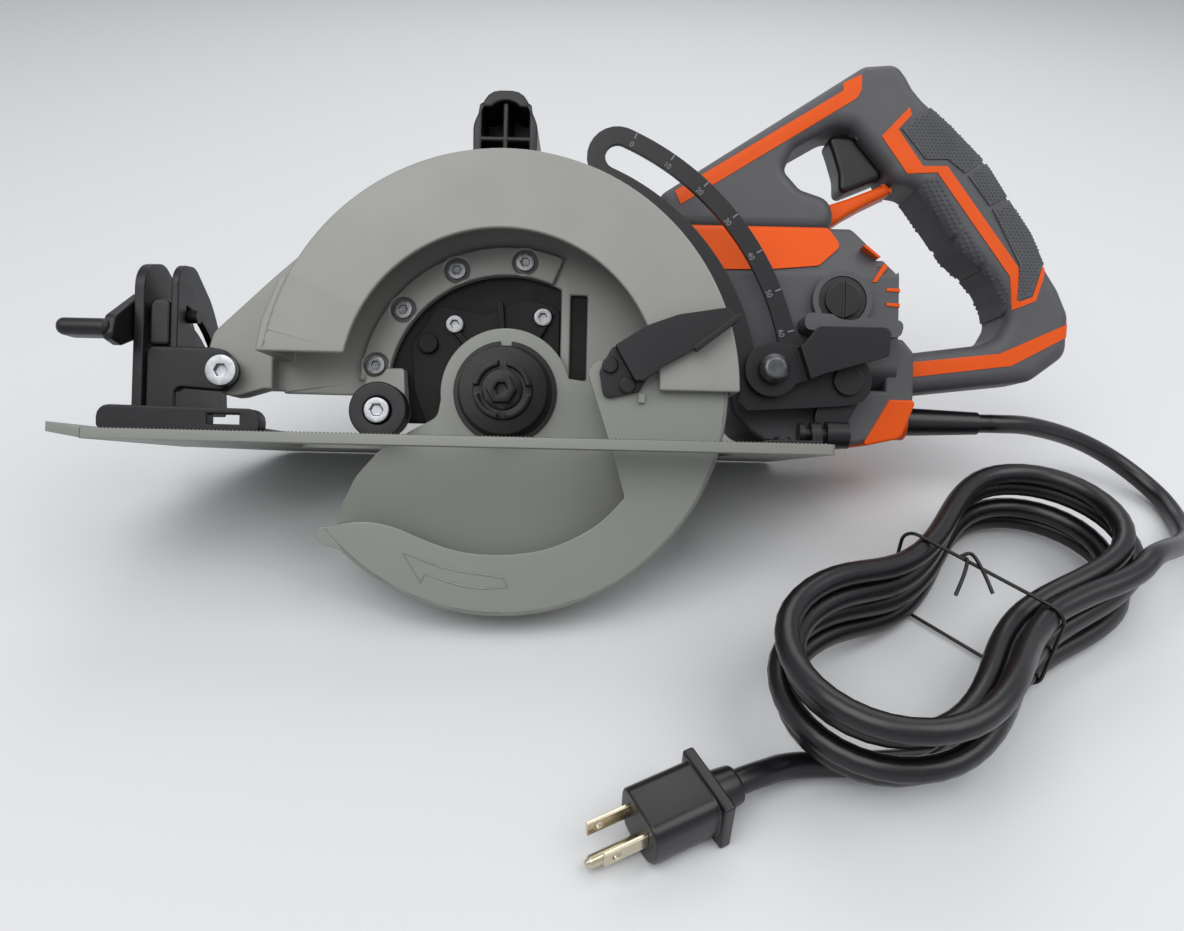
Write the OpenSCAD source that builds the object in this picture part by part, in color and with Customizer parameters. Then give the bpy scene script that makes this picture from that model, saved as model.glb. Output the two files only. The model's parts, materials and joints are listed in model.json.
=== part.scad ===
// Worm drive circular saw, set down on its lower guard and on the far edge of its shoe.
// Saw axes: +X to the rear handle, +Y to the motor side, +Z up from the shoe, zero at the arbor centre.
// The whole saw then leans back about X until both feet meet the floor at Z = 0.

/* [Guards] */
// Diameter of the blade that the guards cover
blade_d = 184; // [178:1:190]
// Gap from the blade's edge to the lower guard
blade_gap = 3.7; // [3:0.1:5]
// Thickness of the lower guard's wall
sheet = 1.8; // [1.4:0.1:2.2]
// Wall of the cast upper guard
cast = 3; // [2.5:0.1:3.5]
// Gap between the two guards
guard_gap = 1; // [0.8:0.1:1.6]
// Radius of the window in the upper guard's face
window_r = 67.5; // [64:0.5:70]

/* [Shoe] */
// Length of the shoe
shoe_l = 320; // [310:1:335]
// Overhang of the shoe on the blade side
shoe_near = 38; // [35:0.5:42]
// Reach of the shoe on the motor side
shoe_far = 105; // [100:0.5:112]
// Thickness of the shoe
shoe_t = 4.2; // [3.4:0.1:5]

/* [Drive] */
// Distance between the arbor and the motor shaft
centre = 46; // [45.5:0.5:47.5]
// Distance from the blade to the motor shaft
motor_y = 66; // [65:0.5:68]
// Starts of the worm
starts = 4; // [4]
// Teeth of the worm wheel
teeth = 15; // [15]
// Radius of the arbor
arbor_r = 7.9; // [7:0.1:8.5]

/* [Handle] */
// Thickness of the rear handle
handle_t = 36; // [33:0.5:40]

/* [Depth] */
// Radius of the slot in the depth arm
slot_r = 121.8; // [121:0.1:122.5]
// Width of the slot
slot_w = 11.4; // [11:0.1:12]

/* [Cord] */
// Diameter of the cord
cord_d = 9.5; // [8.5:0.1:9.8]

/* [Fits] */
// Gap between parts that move past each other
gap = 0.3; // [0.3:0.05:0.4]
// Radial clearance of a shaft in its hole
run = 0.05; // [0.03:0.01:0.08]

/* [Hidden] */
$fn = 64;

lower_r = blade_d / 2 + blade_gap + sheet;
upper_r = lower_r + guard_gap + cast;
face_y = -22;
back_y = 14;
plate_y1 = 7;
sole = 26;
shoe_top = shoe_t - sole;
shoe_x0 = 138.5 - shoe_l;
lean = atan((lower_r - sole) / (shoe_far - plate_y1));
rest_h = plate_y1 * sin(lean) + lower_r * cos(lean);
stand = [46, 51.5];

pivot = [-123.5, 6];
arm_pin = [157, 10];
clamp = [slot_r * cos(6.5), slot_r * sin(6.5)];
arm_y = 15;
arm_t = 3;
bevel_z = -16;
bevel_r = 49;
lever_axis = [bevel_r * cos(78), bevel_z + bevel_r * sin(78)];
rear_x = 139;

housing_x = [58, 184];
half = handle_t / 2;
brush_x = 156;
cord_exit = [191, motor_y - 4, -5];

case_r = sole - 1.2;
wheel_r = case_r - 4.4;
worm_r = centre - wheel_r;
lead = atan(starts * wheel_r / (teeth * worm_r));
tooth_h = 1.5 * wheel_r * cos(lead) / teeth;
tube_r = worm_r + tooth_h + 2.4;
case_floor = shoe_top + 0.5;

bolt_r = 4;
trig_pin = [171, 139];

// Vector and outline helpers
function unit(v) = v / norm(v);
function flat2(p) = [p[0], p[1]];
function corner(a, b, c, r, n) =
    r == 0 ? [b] :
    let (
        u = unit(a - b),
        v = unit(c - b),
        h = acos(u * v) / 2,
        o = b + unit(u + v) * r / sin(h),
        s = b + u * r / tan(h) - o,
        e = b + v * r / tan(h) - o,
        a0 = atan2(s[1], s[0]),
        da = (atan2(e[1], e[0]) - a0 + 540) % 360 - 180
    )
    [for (i = [0 : n]) o + r * [cos(a0 + da * i / n), sin(a0 + da * i / n)]];
function smooth(p, n = 3) =
    let (m = len(p))
    [for (i = [0 : m - 1])
        each corner(flat2(p[(i + m - 1) % m]), flat2(p[i]), flat2(p[(i + 1) % m]), p[i][2], n)];
function inset(p, d) =
    let (m = len(p))
    [for (i = [0 : m - 1])
        let (
            e = unit(p[i] - p[(i + m - 1) % m]),
            f = unit(p[(i + 1) % m] - p[i]),
            g = [-e[1], e[0]],
            h = [-f[1], f[0]]
        )
        p[i] + d * (g + h) / (1 + g * h)];
function polar(r, a) = [r * cos(a), r * sin(a)];
function arc(r, a0, a1, n = 24) = [for (i = [0 : n]) polar(r, a0 + (a1 - a0) * i / n)];

// Solids along one axis of the saw
module slab(p, y0, y1) {
    translate([0, y1, 0])
        rotate([90, 0, 0])
            linear_extrude(y1 - y0) polygon(p);
}
module cyl_y(c, r, y0, y1) {
    translate([c[0], y1, c[1]])
        rotate([90, 0, 0])
            cylinder(r = r, h = y1 - y0);
}
module cyl_x(c, r, x0, x1) {
    translate([x0, c[0], c[1]])
        rotate([0, 90, 0])
            cylinder(r = r, h = x1 - x0);
}
module box(a, b) {
    translate(a) cube(b - a);
}
module loft(rings) {
    m = len(rings[0]);
    k = len(rings);
    polyhedron(
        points = [for (ring = rings) each ring],
        faces = concat(
            [[for (i = [m - 1 : -1 : 0]) i]],
            [for (j = [0 : k - 2], i = [0 : m - 1]) [j * m + i, j * m + (i + 1) % m, (j + 1) * m + (i + 1) % m]],
            [for (j = [0 : k - 2], i = [0 : m - 1]) [j * m + i, (j + 1) * m + (i + 1) % m, (j + 1) * m + i]],
            [[for (i = [0 : m - 1]) (k - 1) * m + i]]
        ),
        convexity = 8
    );
}
module far_side() {
    translate([0, 2 * motor_y, 0])
        mirror([0, 1, 0]) children();
}
module set_down() {
    translate([-stand[0], -stand[1], rest_h])
        rotate([-lean, 0, 0]) children();
}
module screw_y(c, y, r, depth) {
    difference() {
        union() {
            cyl_y(c, r, y - r * 0.7, y);
            cyl_y(c, r * 0.55, y, y + depth);
        }
        translate([c[0], y - r * 0.7 + 1.6, c[1]])
            rotate([90, 0, 0]) cylinder(r = r * 0.5, h = 2, $fn = 6);
    }
}

// Guards
guard_screw_at = [for (a = [83, 113, 142, 169]) 60.5 * [cos(a), sin(a)]];
bumper_at = [-54.5, -10];
nose = smooth([
    [-40, -1, 0], [-40, 72, 0], [-86, 66, 0], [-104.5, 49.5, 0], [-131, 24, 6], [-136, 6, 10], [-124, -6, 10],
    [-108, -1, 0]
]);
bumper_web = [[-66, -4], [-54, -18], [-44, -12], [-46, 10], [-62, 10]];
module upper_guard() {
    difference() {
        union() {
            difference() {
                union() {
                    cyl_y([0, 0], upper_r, face_y, back_y, $fn = 128);
                    slab(
                        [[-60, 13], [-upper_r - 2.2, 13], [-upper_r, 26], [-94.5, 44], [-60, 60]],
                        face_y + 0.01, back_y - 0.01
                    );
                    slab(nose, 2, back_y);
                }
                cyl_y([0, 0], upper_r - cast, face_y + cast, back_y - cast, $fn = 128);
                cyl_y([0, 0], window_r, face_y - 1, 0, $fn = 128);
                box([0, face_y - 1, -120], [120, back_y + 1, 0]);
                box([-104, face_y - 1, -120], [1, back_y - cast, 13]);
                box([-104, back_y - cast - 1, -120], [1, back_y + 1, -2]);
            }
            intersection() {
                cyl_y([0, 0], 67, 8, back_y - 1, $fn = 128);
                slab([[0, 0], polar(90, 68), polar(130, 122), polar(90, 176)], 5, 20);
            }
            cyl_y(bumper_at, 12, 2, back_y - 0.02);
            slab(bumper_web, 4, back_y - 0.01);
        }
        difference() {
            cyl_y([0, 0], 54, 6, back_y + 1);
            box([24, 0, -60], [60, 20, 60]);
            slab(bumper_web, 4, back_y + 2);
        }
        box([28.5, 8, 7], [36, 20, 46]);
        cyl_y(pivot, bolt_r + run, 0, 20);
        cyl_y(bumper_at, 3.1, 0, 12);
        for (p = guard_screw_at) {
            cyl_y(p, 2.4, 7, 20);
            cyl_y(p, 5.6, 0, 10.3);
        }
    }
}
module guard_screws() {
    for (p = guard_screw_at)
        screw_y(p, 10.3, 4.2, 8.5);
}
module guard_bumper() {
    difference() {
        cyl_y(bumper_at, 12.6, -8, 2);
        cyl_y(bumper_at, 6, -9, -6);
        cyl_y(bumper_at, 3.1, -9, 3);
    }
}
module bumper_screw() {
    screw_y(bumper_at, -6, 5.6, 17);
}
face_cut = smooth([
    [150, 150, 0], [150, 13, 0], [41, 13, 4], [36.5, 8, 4], [49.5, -28.5, 0], [55, -44.5, 2], [45.5, -53.5, 0],
    [28, -65.5, 0], [5, -71.5, 0], [-10, -71.5, 0], [-26, -68.5, 0], [-38.5, -63, 0], [-56, -59, 0],
    [-71, -61, 0], [-120, -103, 0], [-150, -103, 0], [-150, 150, 0]
]);
back_cut = smooth([
    [150, 150, 0], [150, 21, 0], [30, 5, 6], [20, 26, 10], [0, 29, 20], [-20, 24, 12], [-26, 4, 10],
    [-38, -14.5, 8], [-60, -30.5, 8], [-70, -48, 10], [-71, -61, 0], [-120, -103, 0], [-150, -103, 0], [-150, 150, 0]
]);
module lower_guard() {
    difference() {
        union() {
            difference() {
                cyl_y([0, 0], lower_r, -16.5, plate_y1, $fn = 128);
                cyl_y([0, 0], lower_r - sheet, sheet - 16.5, plate_y1 - sheet, $fn = 128);
                slab(face_cut, -30, -5);
                slab(back_cut, -5, 30);
            }
            slab([polar(90.5, -139), polar(97, -139), polar(97, -136.5), polar(90.5, -136.5)], -15.5, 6);
            cyl_y([0, 0], 27, 5, plate_y1);
            box([59, -18.9, -5], [61.5, -16, -1.2]);
        }
        cyl_y([0, 0], 21.05 + run, 0, 10);
        for (p = rivet_at)
            cyl_y(p, 2.2, -18, -12);
    }
}
rivet_at = [[46.5, 10.5], [54, 2]];
module lift_lever() {
    difference() {
        union() {
            slab(
                smooth([[42, 8, 3], [44, -4, 3], [59, -0.5, 0], [63, 6, 0], [52, 20, 0], [47, 18, 2]]),
                -19.1, -16.5
            );
            slab([[60.3, 3.6], [63, 6], [52, 20], [48.5, 18.2], [57, 3.6]], -27, -16.5);
            slab(
                smooth([
                    [57, 3.6, 0], [61, 3.8, 0], [68.5, 9.5, 0], [84, 18.5, 0], [99.5, 30.5, 3], [95.5, 35, 3],
                    [74.5, 31.5, 20], [61, 26.5, 20], [48.5, 18.2, 0]
                ]),
                -27, -24.4
            );
            slab(smooth([[82, 15.5, 1], [100.5, 30, 1], [99, 32, 1], [80.8, 17.5, 1]]), -31, -24.4);
        }
        for (p = rivet_at)
            cyl_y(p, 2.2, -28, -12);
    }
}
module lever_rivets() {
    for (p = rivet_at) {
        cyl_y(p, 3.4, -21.3, -19.1);
        cyl_y(p, 2.2, -19.2, -14.7);
    }
}

// Gear case
module case_end(y0, y1) {
    intersection() {
        cyl_y([0, 0], 32, y0, y1);
        box([-40, y0 - 1, case_floor], [40, y1 + 1, 26]);
    }
}
module gear_case() {
    difference() {
        union() {
            intersection() {
                cyl_y([0, 0], 66, back_y, 19);
                box([-70, 0, -14], [60, 30, 70]);
            }
            cyl_y([0, 0], case_r, back_y, 92);
            case_end(82, 92);
            cyl_x([motor_y, centre], tube_r, -42, 52);
            cyl_x([motor_y, centre], 38, 46, 58);
            box([-case_r, 38, 0], [case_r, 90, centre]);
        }
        cyl_y([0, 0], case_r - 1.8, 40, 93);
        cyl_x([motor_y, centre], tube_r - 1.8, -34, 45);
        cyl_x([motor_y, centre], 13, 44, 49);
        cyl_y([0, 0], 17 + run, 16, 41);
        cyl_y([0, 0], 9.5, 0, 20);
        cyl_x([motor_y, centre], 11 + run, -40, 0);
        cyl_x([motor_y, centre], 16 + run, 48, 60);
        for (p = guard_screw_at)
            cyl_y(p, 2.4, 10, 30);
        for (p = retainer_at)
            cyl_y(p, 2.2, 10, 30);
        for (p = cover_at)
            cyl_y(p, 2.2, 82, 96);
        cyl_x([motor_y + 17, centre - 14], 4, -60, -36);
        translate([-28, motor_y, 60])
            cylinder(r = 5 + run, h = 40);
    }
}
cover_at = [for (a = [40, 140, 216, 324]) polar(28, a)];
module case_cover() {
    difference() {
        union() {
            case_end(92, 95);
            cyl_y([0, 0], 18, 92, 101);
        }
        cyl_y([0, 0], 13 + run, 91, 98);
        for (p = cover_at)
            cyl_y(p, 2.2, 90, 96);
    }
}
module cover_screws() {
    for (p = cover_at)
        translate([0, 190, 0])
            mirror([0, 1, 0]) screw_y(p, 95, 3.8, 12);
}
retainer_at = [[-24, 31], [16, 35]];
module bearing_retainer() {
    difference() {
        union() {
            slab(
                smooth([
                    [-34, -20, 8], [23.5, -24, 8], [23.5, 40, 5], [8, 44, 5], [-10, 36, 8], [-32, 40, 6],
                    [-44, 22, 6], [-42, 0, 8]
                ]),
                10.3, back_y
            );
            cyl_y([0, 0], 21.05, 2, 11);
            cyl_y([-36, 22], 4.5, 7.4, 11);
            for (a = [62, 95, 130])
                rotate([0, -a, 0]) box([25, 7.4, -1.5], [42, 11, 1.5]);
        }
        cyl_y([0, 0], 9.5, 0, 20);
        translate([0, 4.7, 0])
            rotate([90, 0, 0]) snap_groove();
        for (p = retainer_at) {
            cyl_y(p, 2.2, 8, 20);
            cyl_y(p, 4.4, 0, 10.3);
        }
        cyl_y(bumper_at, 12.9, 0, 20);
    }
}
module snap_groove() {
    difference() {
        cylinder(r = 22, h = 1.3);
        translate([0, 0, -1]) cylinder(r = 19.6, h = 4);
    }
}
module retainer_screws() {
    for (p = retainer_at)
        screw_y(p, 10.3, 4, 8.5);
}
module snap_ring() {
    difference() {
        cyl_y([0, 0], 23.2, 3.42, 4.68);
        cyl_y([0, 0], 19.7, 3, 5);
        box([-2.5, 3, 18], [2.5, 5, 25]);
    }
}
module oil_plug() {
    cyl_x([motor_y + 17, centre - 14], 6, -45, -42);
    cyl_x([motor_y + 17, centre - 14], 4, -42, -36);
}
module spindle_bearings() {
    for (s = [[16, 28, 17], [84, 92, 13]])
        difference() {
            cyl_y([0, 0], s[2], s[0], s[1]);
            cyl_y([0, 0], arbor_r + run, s[0] - 1, s[1] + 1);
        }
    difference() {
        cyl_y([0, 0], 13, 92, 97.5);
        cyl_y([0, 0], arbor_r + run, 90, 99);
    }
}

// Arbor and what turns with it
module arbor() {
    difference() {
        union() {
            cyl_y([0, 0], arbor_r, 2, 97);
            cyl_y([0, 0], 6.4, -9, 2);
        }
        cyl_y([0, 0], 3.2, -10, 14);
    }
}
module inner_flange() {
    difference() {
        cyl_y([0, 0], 19, -2.5, 1.6);
        cyl_y([0, 0], 6.4, -9, 3);
    }
}
module outer_flange() {
    difference() {
        union() {
            cyl_y([0, 0], 19.3, -7, -2.5);
            cyl_y([0, 0], 13, -11, -6);
        }
        cyl_y([0, 0], 6.4, -9, 0);
        cyl_y([0, 0], 10.5, -12, -9);
        for (a = [0, 90])
            rotate([0, a, 0]) box([-16, -12, -1.8], [16, -9, 1.8]);
    }
}
module arbor_bolt() {
    difference() {
        union() {
            cyl_y([0, 0], 8.8, -10.8, -9);
            cyl_y([0, 0], 6.7, -15, -10, $fn = 6);
            cyl_y([0, 0], 3.15, -10, 13);
        }
        cyl_y([0, 0], 3, -16, -11, $fn = 6);
    }
}
function tooth_ring(n, r, h, w0, w1) = [
    for (i = [0 : n - 1], q = [[-w0, r - h * 1.25], [-w1, r + h], [w1, r + h], [w0, r - h * 1.25]])
        q[1] * [cos(360 * i / n + q[0]), sin(360 * i / n + q[0])]
];
module worm_wheel() {
    difference() {
        translate([0, motor_y + 8, 0])
            rotate([90, 0, 0])
                linear_extrude(16, twist = -16 * tan(lead) / wheel_r * 180 / PI, slices = 4, $fn = 8)
                    rotate(90 - 8 * tan(lead) / wheel_r * 180 / PI)
                        polygon(tooth_ring(teeth, wheel_r, tooth_h, 6.6, 2.4));
        cyl_y([0, 0], arbor_r + 0.01, motor_y - 20, motor_y + 20);
        for (a = [0 : 60 : 300])
            rotate([0, a, 0]) cyl_y([wheel_r * 0.55, 0], 4.5, motor_y - 20, motor_y + 20, $fn = 24);
    }
}
worm_l = 44;
module worm() {
    difference() {
        translate([-worm_l / 2, motor_y, centre])
            rotate([0, 90, 0])
                linear_extrude(worm_l, twist = -worm_l * tan(90 - lead) / worm_r * 180 / PI, slices = 36, $fn = 8)
                    rotate(180 / starts - worm_l / 2 * tan(90 - lead) / worm_r * 180 / PI)
                        polygon(tooth_ring(starts, worm_r, tooth_h, 24, 9));
        cyl_x([motor_y, centre], 6.01, -40, 40);
    }
}
module armature_shaft() {
    cyl_x([motor_y, centre], 6, -39, 176);
}
module armature_core() {
    difference() {
        cyl_x([motor_y, centre], 27, 78, 138);
        cyl_x([motor_y, centre], 6.01, 70, 140);
        for (a = [0 : 30 : 330])
            translate([0, motor_y, centre])
                rotate([a, 0, 0]) box([77, -1.5, 20], [139, 1.5, 28]);
    }
}
module commutator() {
    difference() {
        cyl_x([motor_y, centre], 14, 147, 165);
        cyl_x([motor_y, centre], 6.01, 140, 170);
        for (a = [0 : 15 : 345])
            translate([0, motor_y, centre])
                rotate([a, 0, 0]) box([146, -0.4, 12.5], [166, 0.4, 15]);
    }
}
module fan() {
    difference() {
        union() {
            cyl_x([motor_y, centre], 12, 62, 71);
            cyl_x([motor_y, centre], 31, 69.5, 71);
            for (a = [0 : 30 : 330])
                translate([0, motor_y, centre])
                    rotate([a, 0, 0]) box([62, -1, 10], [70, 1, 31]);
        }
        cyl_x([motor_y, centre], 6.01, 50, 80);
    }
}
module field_core() {
    difference() {
        cyl_x([motor_y, centre], 36, 76, 140);
        cyl_x([motor_y, centre], 28, 70, 145);
    }
}
module motor_bearings() {
    for (s = [[-39.5, -31, 11], [49, 57, 16], [169, 178, 11]])
        difference() {
            cyl_x([motor_y, centre], s[2], s[0], s[1]);
            cyl_x([motor_y, centre], 6 + run, s[0] - 1, s[1] + 1);
        }
}

// Motor housing; its outline is drawn in Y and Z
housing_line = smooth([
    [28, 16, 6], [40, 8, 6], [92, 8, 10], [104, 20, 10], [104, 66, 12], [92, 88, 12], [40, 88, 6], [28, 62, 6]
]);
module housing_block(grow) {
    translate([housing_x[0], 0, 0])
        rotate([90, 0, 90])
            linear_extrude(housing_x[1] - housing_x[0]) polygon(inset(housing_line, -grow));
}
module tail_cut() {
    translate([162, 0, 90])
        rotate([0, 52, 0]) cube([60, 300, 40], center = true);
    box([housing_x[1] - 10, 0, 70], [200, 200, 100]);
}
module motor_housing() {
    difference() {
        union() {
            difference() {
                housing_block(0);
                translate([18, 66, 9]) tail_cut();
            }
            cyl_y([brush_x, centre + 3], 14, 23, 66);
            slab(smooth([[136, 33, 3], [180, 30, 3], [182, 38, 3], [136, 41, 3]]), 12, 34);
        }
        cyl_x([motor_y, centre], 36.05, 57, 166);
        cyl_x([motor_y, centre], 11 + run, 160, 179);
        cyl_y(clamp, bolt_r, 10, 36);
        for (m = [0, 1])
            translate([0, m * 2 * motor_y, 0])
                mirror([0, m, 0]) {
                    cyl_y([brush_x, centre + 3], 11.4, 12, 27);
                    cyl_y([brush_x, centre], 7.05, 20, 60);
                }
        for (i = [0 : 4])
            box([174, 30, 52 + i * 6], [190, 102, 54.6 + i * 6]);
        for (i = [0 : 6])
            box([74 + i * 8, 96, 40], [77.5 + i * 8, 110, 62]);
    }
}
panel_line = smooth([
    [82, 90, 0], [82, 66, 0], [102, 63.5, 0], [122.5, 64, 0], [146, 66.5, 4], [158, 77.5, 4], [151, 90, 0]
]);
module motor_panel() {
    difference() {
        intersection() {
            housing_block(0.8);
            union() {
                slab(panel_line, 0, 44);
                far_side() slab(panel_line, 0, 44);
            }
        }
        housing_block(0);
        box([50, 0, 87.9], [200, 140, 100]);
    }
}
module brush_holders() {
    for (m = [0, 1])
        translate([0, m * 2 * motor_y, 0])
            mirror([0, m, 0])
                cyl_y([brush_x, centre], 7, 27.3, motor_y - 14 - gap);
}
module brush_caps() {
    for (m = [0, 1])
        translate([0, m * 2 * motor_y, 0])
            mirror([0, m, 0])
                difference() {
                    union() {
                        cyl_y([brush_x, centre + 3], 11.3, 23.5, 27);
                        cyl_y([brush_x, centre + 3], 8.5, 21.5, 24);
                    }
                    box([brush_x - 0.9, 20, centre - 6], [brush_x + 0.9, 22.8, centre + 12]);
                }
}

// Rear handle in two halves that meet on the plane of the motor shaft
loop_line = smooth([
    [188, 3.5, 0], [211.5, 5, 0], [261, 11, 12], [279, 25, 9], [280.5, 44, 12], [268.5, 70.5, 0], [257, 92, 0],
    [248, 106, 0], [236, 125, 0], [223, 139, 0], [205, 157.5, 8], [193.5, 172.5, 8], [177.5, 170.5, 8], [70, 107, 8], [70, 88.4, 7],
    [160, 88.4, 0], [168, 96, 0], [186, 104.5, 5], [193, 104.5, 6], [211.5, 80.5, 0], [225.5, 65.5, 0], [238, 49, 10],
    [241, 38, 4], [234, 29.5, 6], [197.5, 26, 0], [188, 26, 0]
]);
trigger_hole = smooth([
    [134, 113, 3], [141, 104, 3], [156.5, 102, 0], [166, 103.5, 0], [186, 111, 4], [172, 138, 3], [157.5, 134, 0],
    [139, 124, 4]
]);
body_line = smooth([
    [104, 7.7, 0], [106, -4, 4], [114, -13, 4], [126, -20.3, 5], [165, -18.5, 5], [186, -13.5, 5], [193, 4, 4],
    [193, 26, 4], [187, 33, 3], [184.3, 33, 0], [184.3, 7.7, 0]
]);
zig = [[201, 147], [186, 135], [198, 116], [213, 116], [251, 64], [249, 50]];
module handle_pocket(y) {
    slab([[82, 96.5], [166, 147], [171, 152], [172, 160], [167, 158], [78, 104.5]], y, y + 1.2);
    for (i = [0 : len(zig) - 2]) {
        d = unit(zig[i + 1] - zig[i]) * 2.3;
        n = [-d[1], d[0]];
        slab([zig[i] - d - n, zig[i + 1] + d - n, zig[i + 1] + d + n, zig[i] - d + n], y, y + 1.2);
    }
    slab([[193, 11.5], [241, 15.5], [273, 31], [273, 40], [238, 24], [197, 20]], y, y + 1.2);
}
module handle_half() {
    difference() {
        union() {
            slab(loop_line, motor_y - half, motor_y);
            slab(body_line, 31, motor_y);
            difference() {
                cyl_y(clamp, 9, 18.3, 33);
                housing_block(0);
            }
            slab([[112, -13], [126, -19], [140, -19], [140, 7.5], [124, 7.5], [112, 5]], 27, 32);
        }
        slab(trigger_hole, motor_y - half - 1, motor_y + 1);
        handle_pocket(motor_y - half);
        box([158, motor_y - 9, 108], [206, motor_y + 1, 140]);
        cyl_x([cord_exit[1], cord_exit[2]], 9.5, 168, 200);
    }
}
module handle_near() {
    difference() {
        handle_half();
        cyl_y(clamp, bolt_r, 10, 40);
        cyl_y(trig_pin, 2 + run, motor_y - 12, motor_y + 1);
    }
}
module handle_far() {
    difference() {
        far_side()
            difference() {
                union() {
                    slab(loop_line, motor_y - half, motor_y);
                    slab(body_line, 31, motor_y);
                }
                slab(trigger_hole, motor_y - half - 1, motor_y + 1);
                handle_pocket(motor_y - half);
                box([158, motor_y - 9, 108], [206, motor_y + 1, 140]);
                cyl_y(trig_pin, 2 + run, motor_y - 12, motor_y + 1);
                for (p = handle_screw_at) {
                    cyl_y(p, 4, 0, motor_y - half + 4);
                    cyl_y(p, 1.98, 0, motor_y - half + 10);
                }
            }
        cyl_x([cord_exit[1], cord_exit[2]], 9.5, 168, 200);
    }
}
handle_screw_at = [[100, 112], [183, 160], [214, 128], [262, 60], [255, 22], [130, 96]];
module handle_screws() {
    far_side()
        for (p = handle_screw_at)
            screw_y(p, motor_y - half + 4, 3.6, 6);
}
module handle_trim() {
    handle_pocket(motor_y - half - 0.3);
    far_side() handle_pocket(motor_y - half - 0.3);
}
module switch_box() {
    box([192, motor_y - 8.8, 112], [205, motor_y + 8.8, 138]);
}
module trigger_pin() {
    cyl_y(trig_pin, 2, motor_y - 11, motor_y + 11);
}
module trigger() {
    difference() {
        slab(
            smooth([
                [164.5, 139.5, 2], [175, 139.5, 2], [188, 127, 4], [188, 113, 3], [166.5, 106.5, 2], [171.5, 116, 0],
                [170.5, 126, 0]
            ]),
            motor_y - 8.5, motor_y + 8.5
        );
        cyl_y(trig_pin, 2 + run, motor_y - 12, motor_y + 12);
    }
}
module cord_collar() {
    difference() {
        cyl_x([cord_exit[1], cord_exit[2]], 9.5, 170, 198);
        cyl_x([cord_exit[1], cord_exit[2]], cord_d / 2 + 2.3, 160, 200);
    }
}
module strain_relief() {
    translate([172, cord_exit[1], cord_exit[2]])
        rotate([0, 90, 0])
            difference() {
                union() {
                    cylinder(r = cord_d / 2 + 2.3, h = 30);
                    translate([0, 0, 30]) cylinder(r1 = cord_d / 2 + 2.3, r2 = cord_d / 2 + 1, h = 34);
                }
                translate([0, 0, -1]) cylinder(r = cord_d / 2 + 0.15, h = 80);
            }
}

// Top handle on the gear case
module top_handle() {
    difference() {
        union() {
            translate([-4, 16, 0])
                rotate([-90, 0, 0])
                    linear_extrude(92)
                        mirror([0, 1])
                            polygon(smooth([
                                [-14, 68, 0], [14, 68, 0], [15, 126, 12], [8, 142, 8], [-8, 142, 8],
                                [-15, 126, 12]
                            ]));
            translate([-4, 108, 78])
                linear_extrude(48) polygon(arc(15, 0, 180, 16));
        }
        cyl_x([motor_y, centre], tube_r, -60, 60);
        box([-15, 15, 104], [7, 40, 134]);
        cyl_y([-4, 128], 9, 15, 40);
    }
    box([-5.2, 16, 104], [-2.8, 40, 136]);
    box([-15, 16, 118], [7, 40, 120.4]);
}
module lock_button() {
    translate([-28, motor_y, 0]) {
        translate([0, 0, 69]) cylinder(r = 5, h = 10);
        translate([0, 0, 79]) cylinder(r = 7, h = 3);
    }
}

// Depth carriage
module front_bracket() {
    difference() {
        union() {
            slab(
                smooth([
                    [-158, bevel_z - 1, 0], [-144.6, bevel_z - 1, 0], [-144.6, -1.5, 0], [-124, -3, 0],
                    [-114.5, 6, 8], [-124, 15.4, 0], [-130, 16.3, 0], [-158, 16.3, 2]
                ]),
                -4, 1.7
            );
            translate([-148, 0, 0])
                rotate([90, 0, 90])
                    linear_extrude(3.3)
                        difference() {
                            polygon(concat(
                                [[-3.5, bevel_z - 2], [-3.5, 50], [-2, 57]],
                                [for (a = [84 : -9 : 12]) [60 * cos(a) - 4, bevel_z + 74 * sin(a)]],
                                [[56, bevel_z + 6], [20, bevel_z + 2], [3, bevel_z - 2]]
                            ));
                            polygon(concat(
                                around([0, bevel_z], bevel_r + 3.4, 84, 22),
                                around([0, bevel_z], bevel_r - 3.4, 22, 84)
                            ));
                        }
            cyl_x([0, bevel_z], 5, -157.9, -140);
        }
        cyl_y(pivot, bolt_r + run, -10, 10);
        cyl_x([0, bevel_z], 3 + run, -170, -130);
    }
}
module pivot_screw() {
    difference() {
        union() {
            cyl_y(pivot, 6.8, -8, -4);
            cyl_y(pivot, bolt_r, -5, 13);
        }
        cyl_y(pivot, 3, -9, -5.5, $fn = 6);
    }
}
module rear_hinge() {
    difference() {
        union() {
            cyl_x([0, bevel_z], 6, rear_x + 4, rear_x + 14);
            box([rear_x + 4, 0, bevel_z - 3], [rear_x + 14, 23.5, bevel_z + 3]);
            slab(smooth([[rear_x + 4, bevel_z - 3, 0], [rear_x + 14, bevel_z - 3, 0], [arm_pin[0] + 9, arm_pin[1] - 4, 4],
                         [arm_pin[0] + 9, arm_pin[1] + 9, 6], [arm_pin[0] - 8, arm_pin[1] + 9, 6], [rear_x + 4, -6, 4]]),
                 arm_y + arm_t + gap, 24);
            cyl_y(arm_pin, 7, arm_y - 2.5, arm_y - gap);
            cyl_y(arm_pin, 5, arm_y - 1, arm_y + arm_t + 2);
        }
        cyl_x([0, bevel_z], 3 + run, rear_x - 10, rear_x + 40);
    }
}
module bevel_pins() {
    cyl_x([0, bevel_z], 3, -168, -141);
    cyl_x([0, bevel_z], 3, rear_x - 6, rear_x + 15);
    cyl_x([0, bevel_z], 5, rear_x - 8, rear_x - 5.6);
}
slot_end = slot_r * [cos(66.6), sin(66.6)];
function around(c, r, a0, a1, n = 12) = [for (q = arc(r, a0, a1, n)) c + q];
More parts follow.
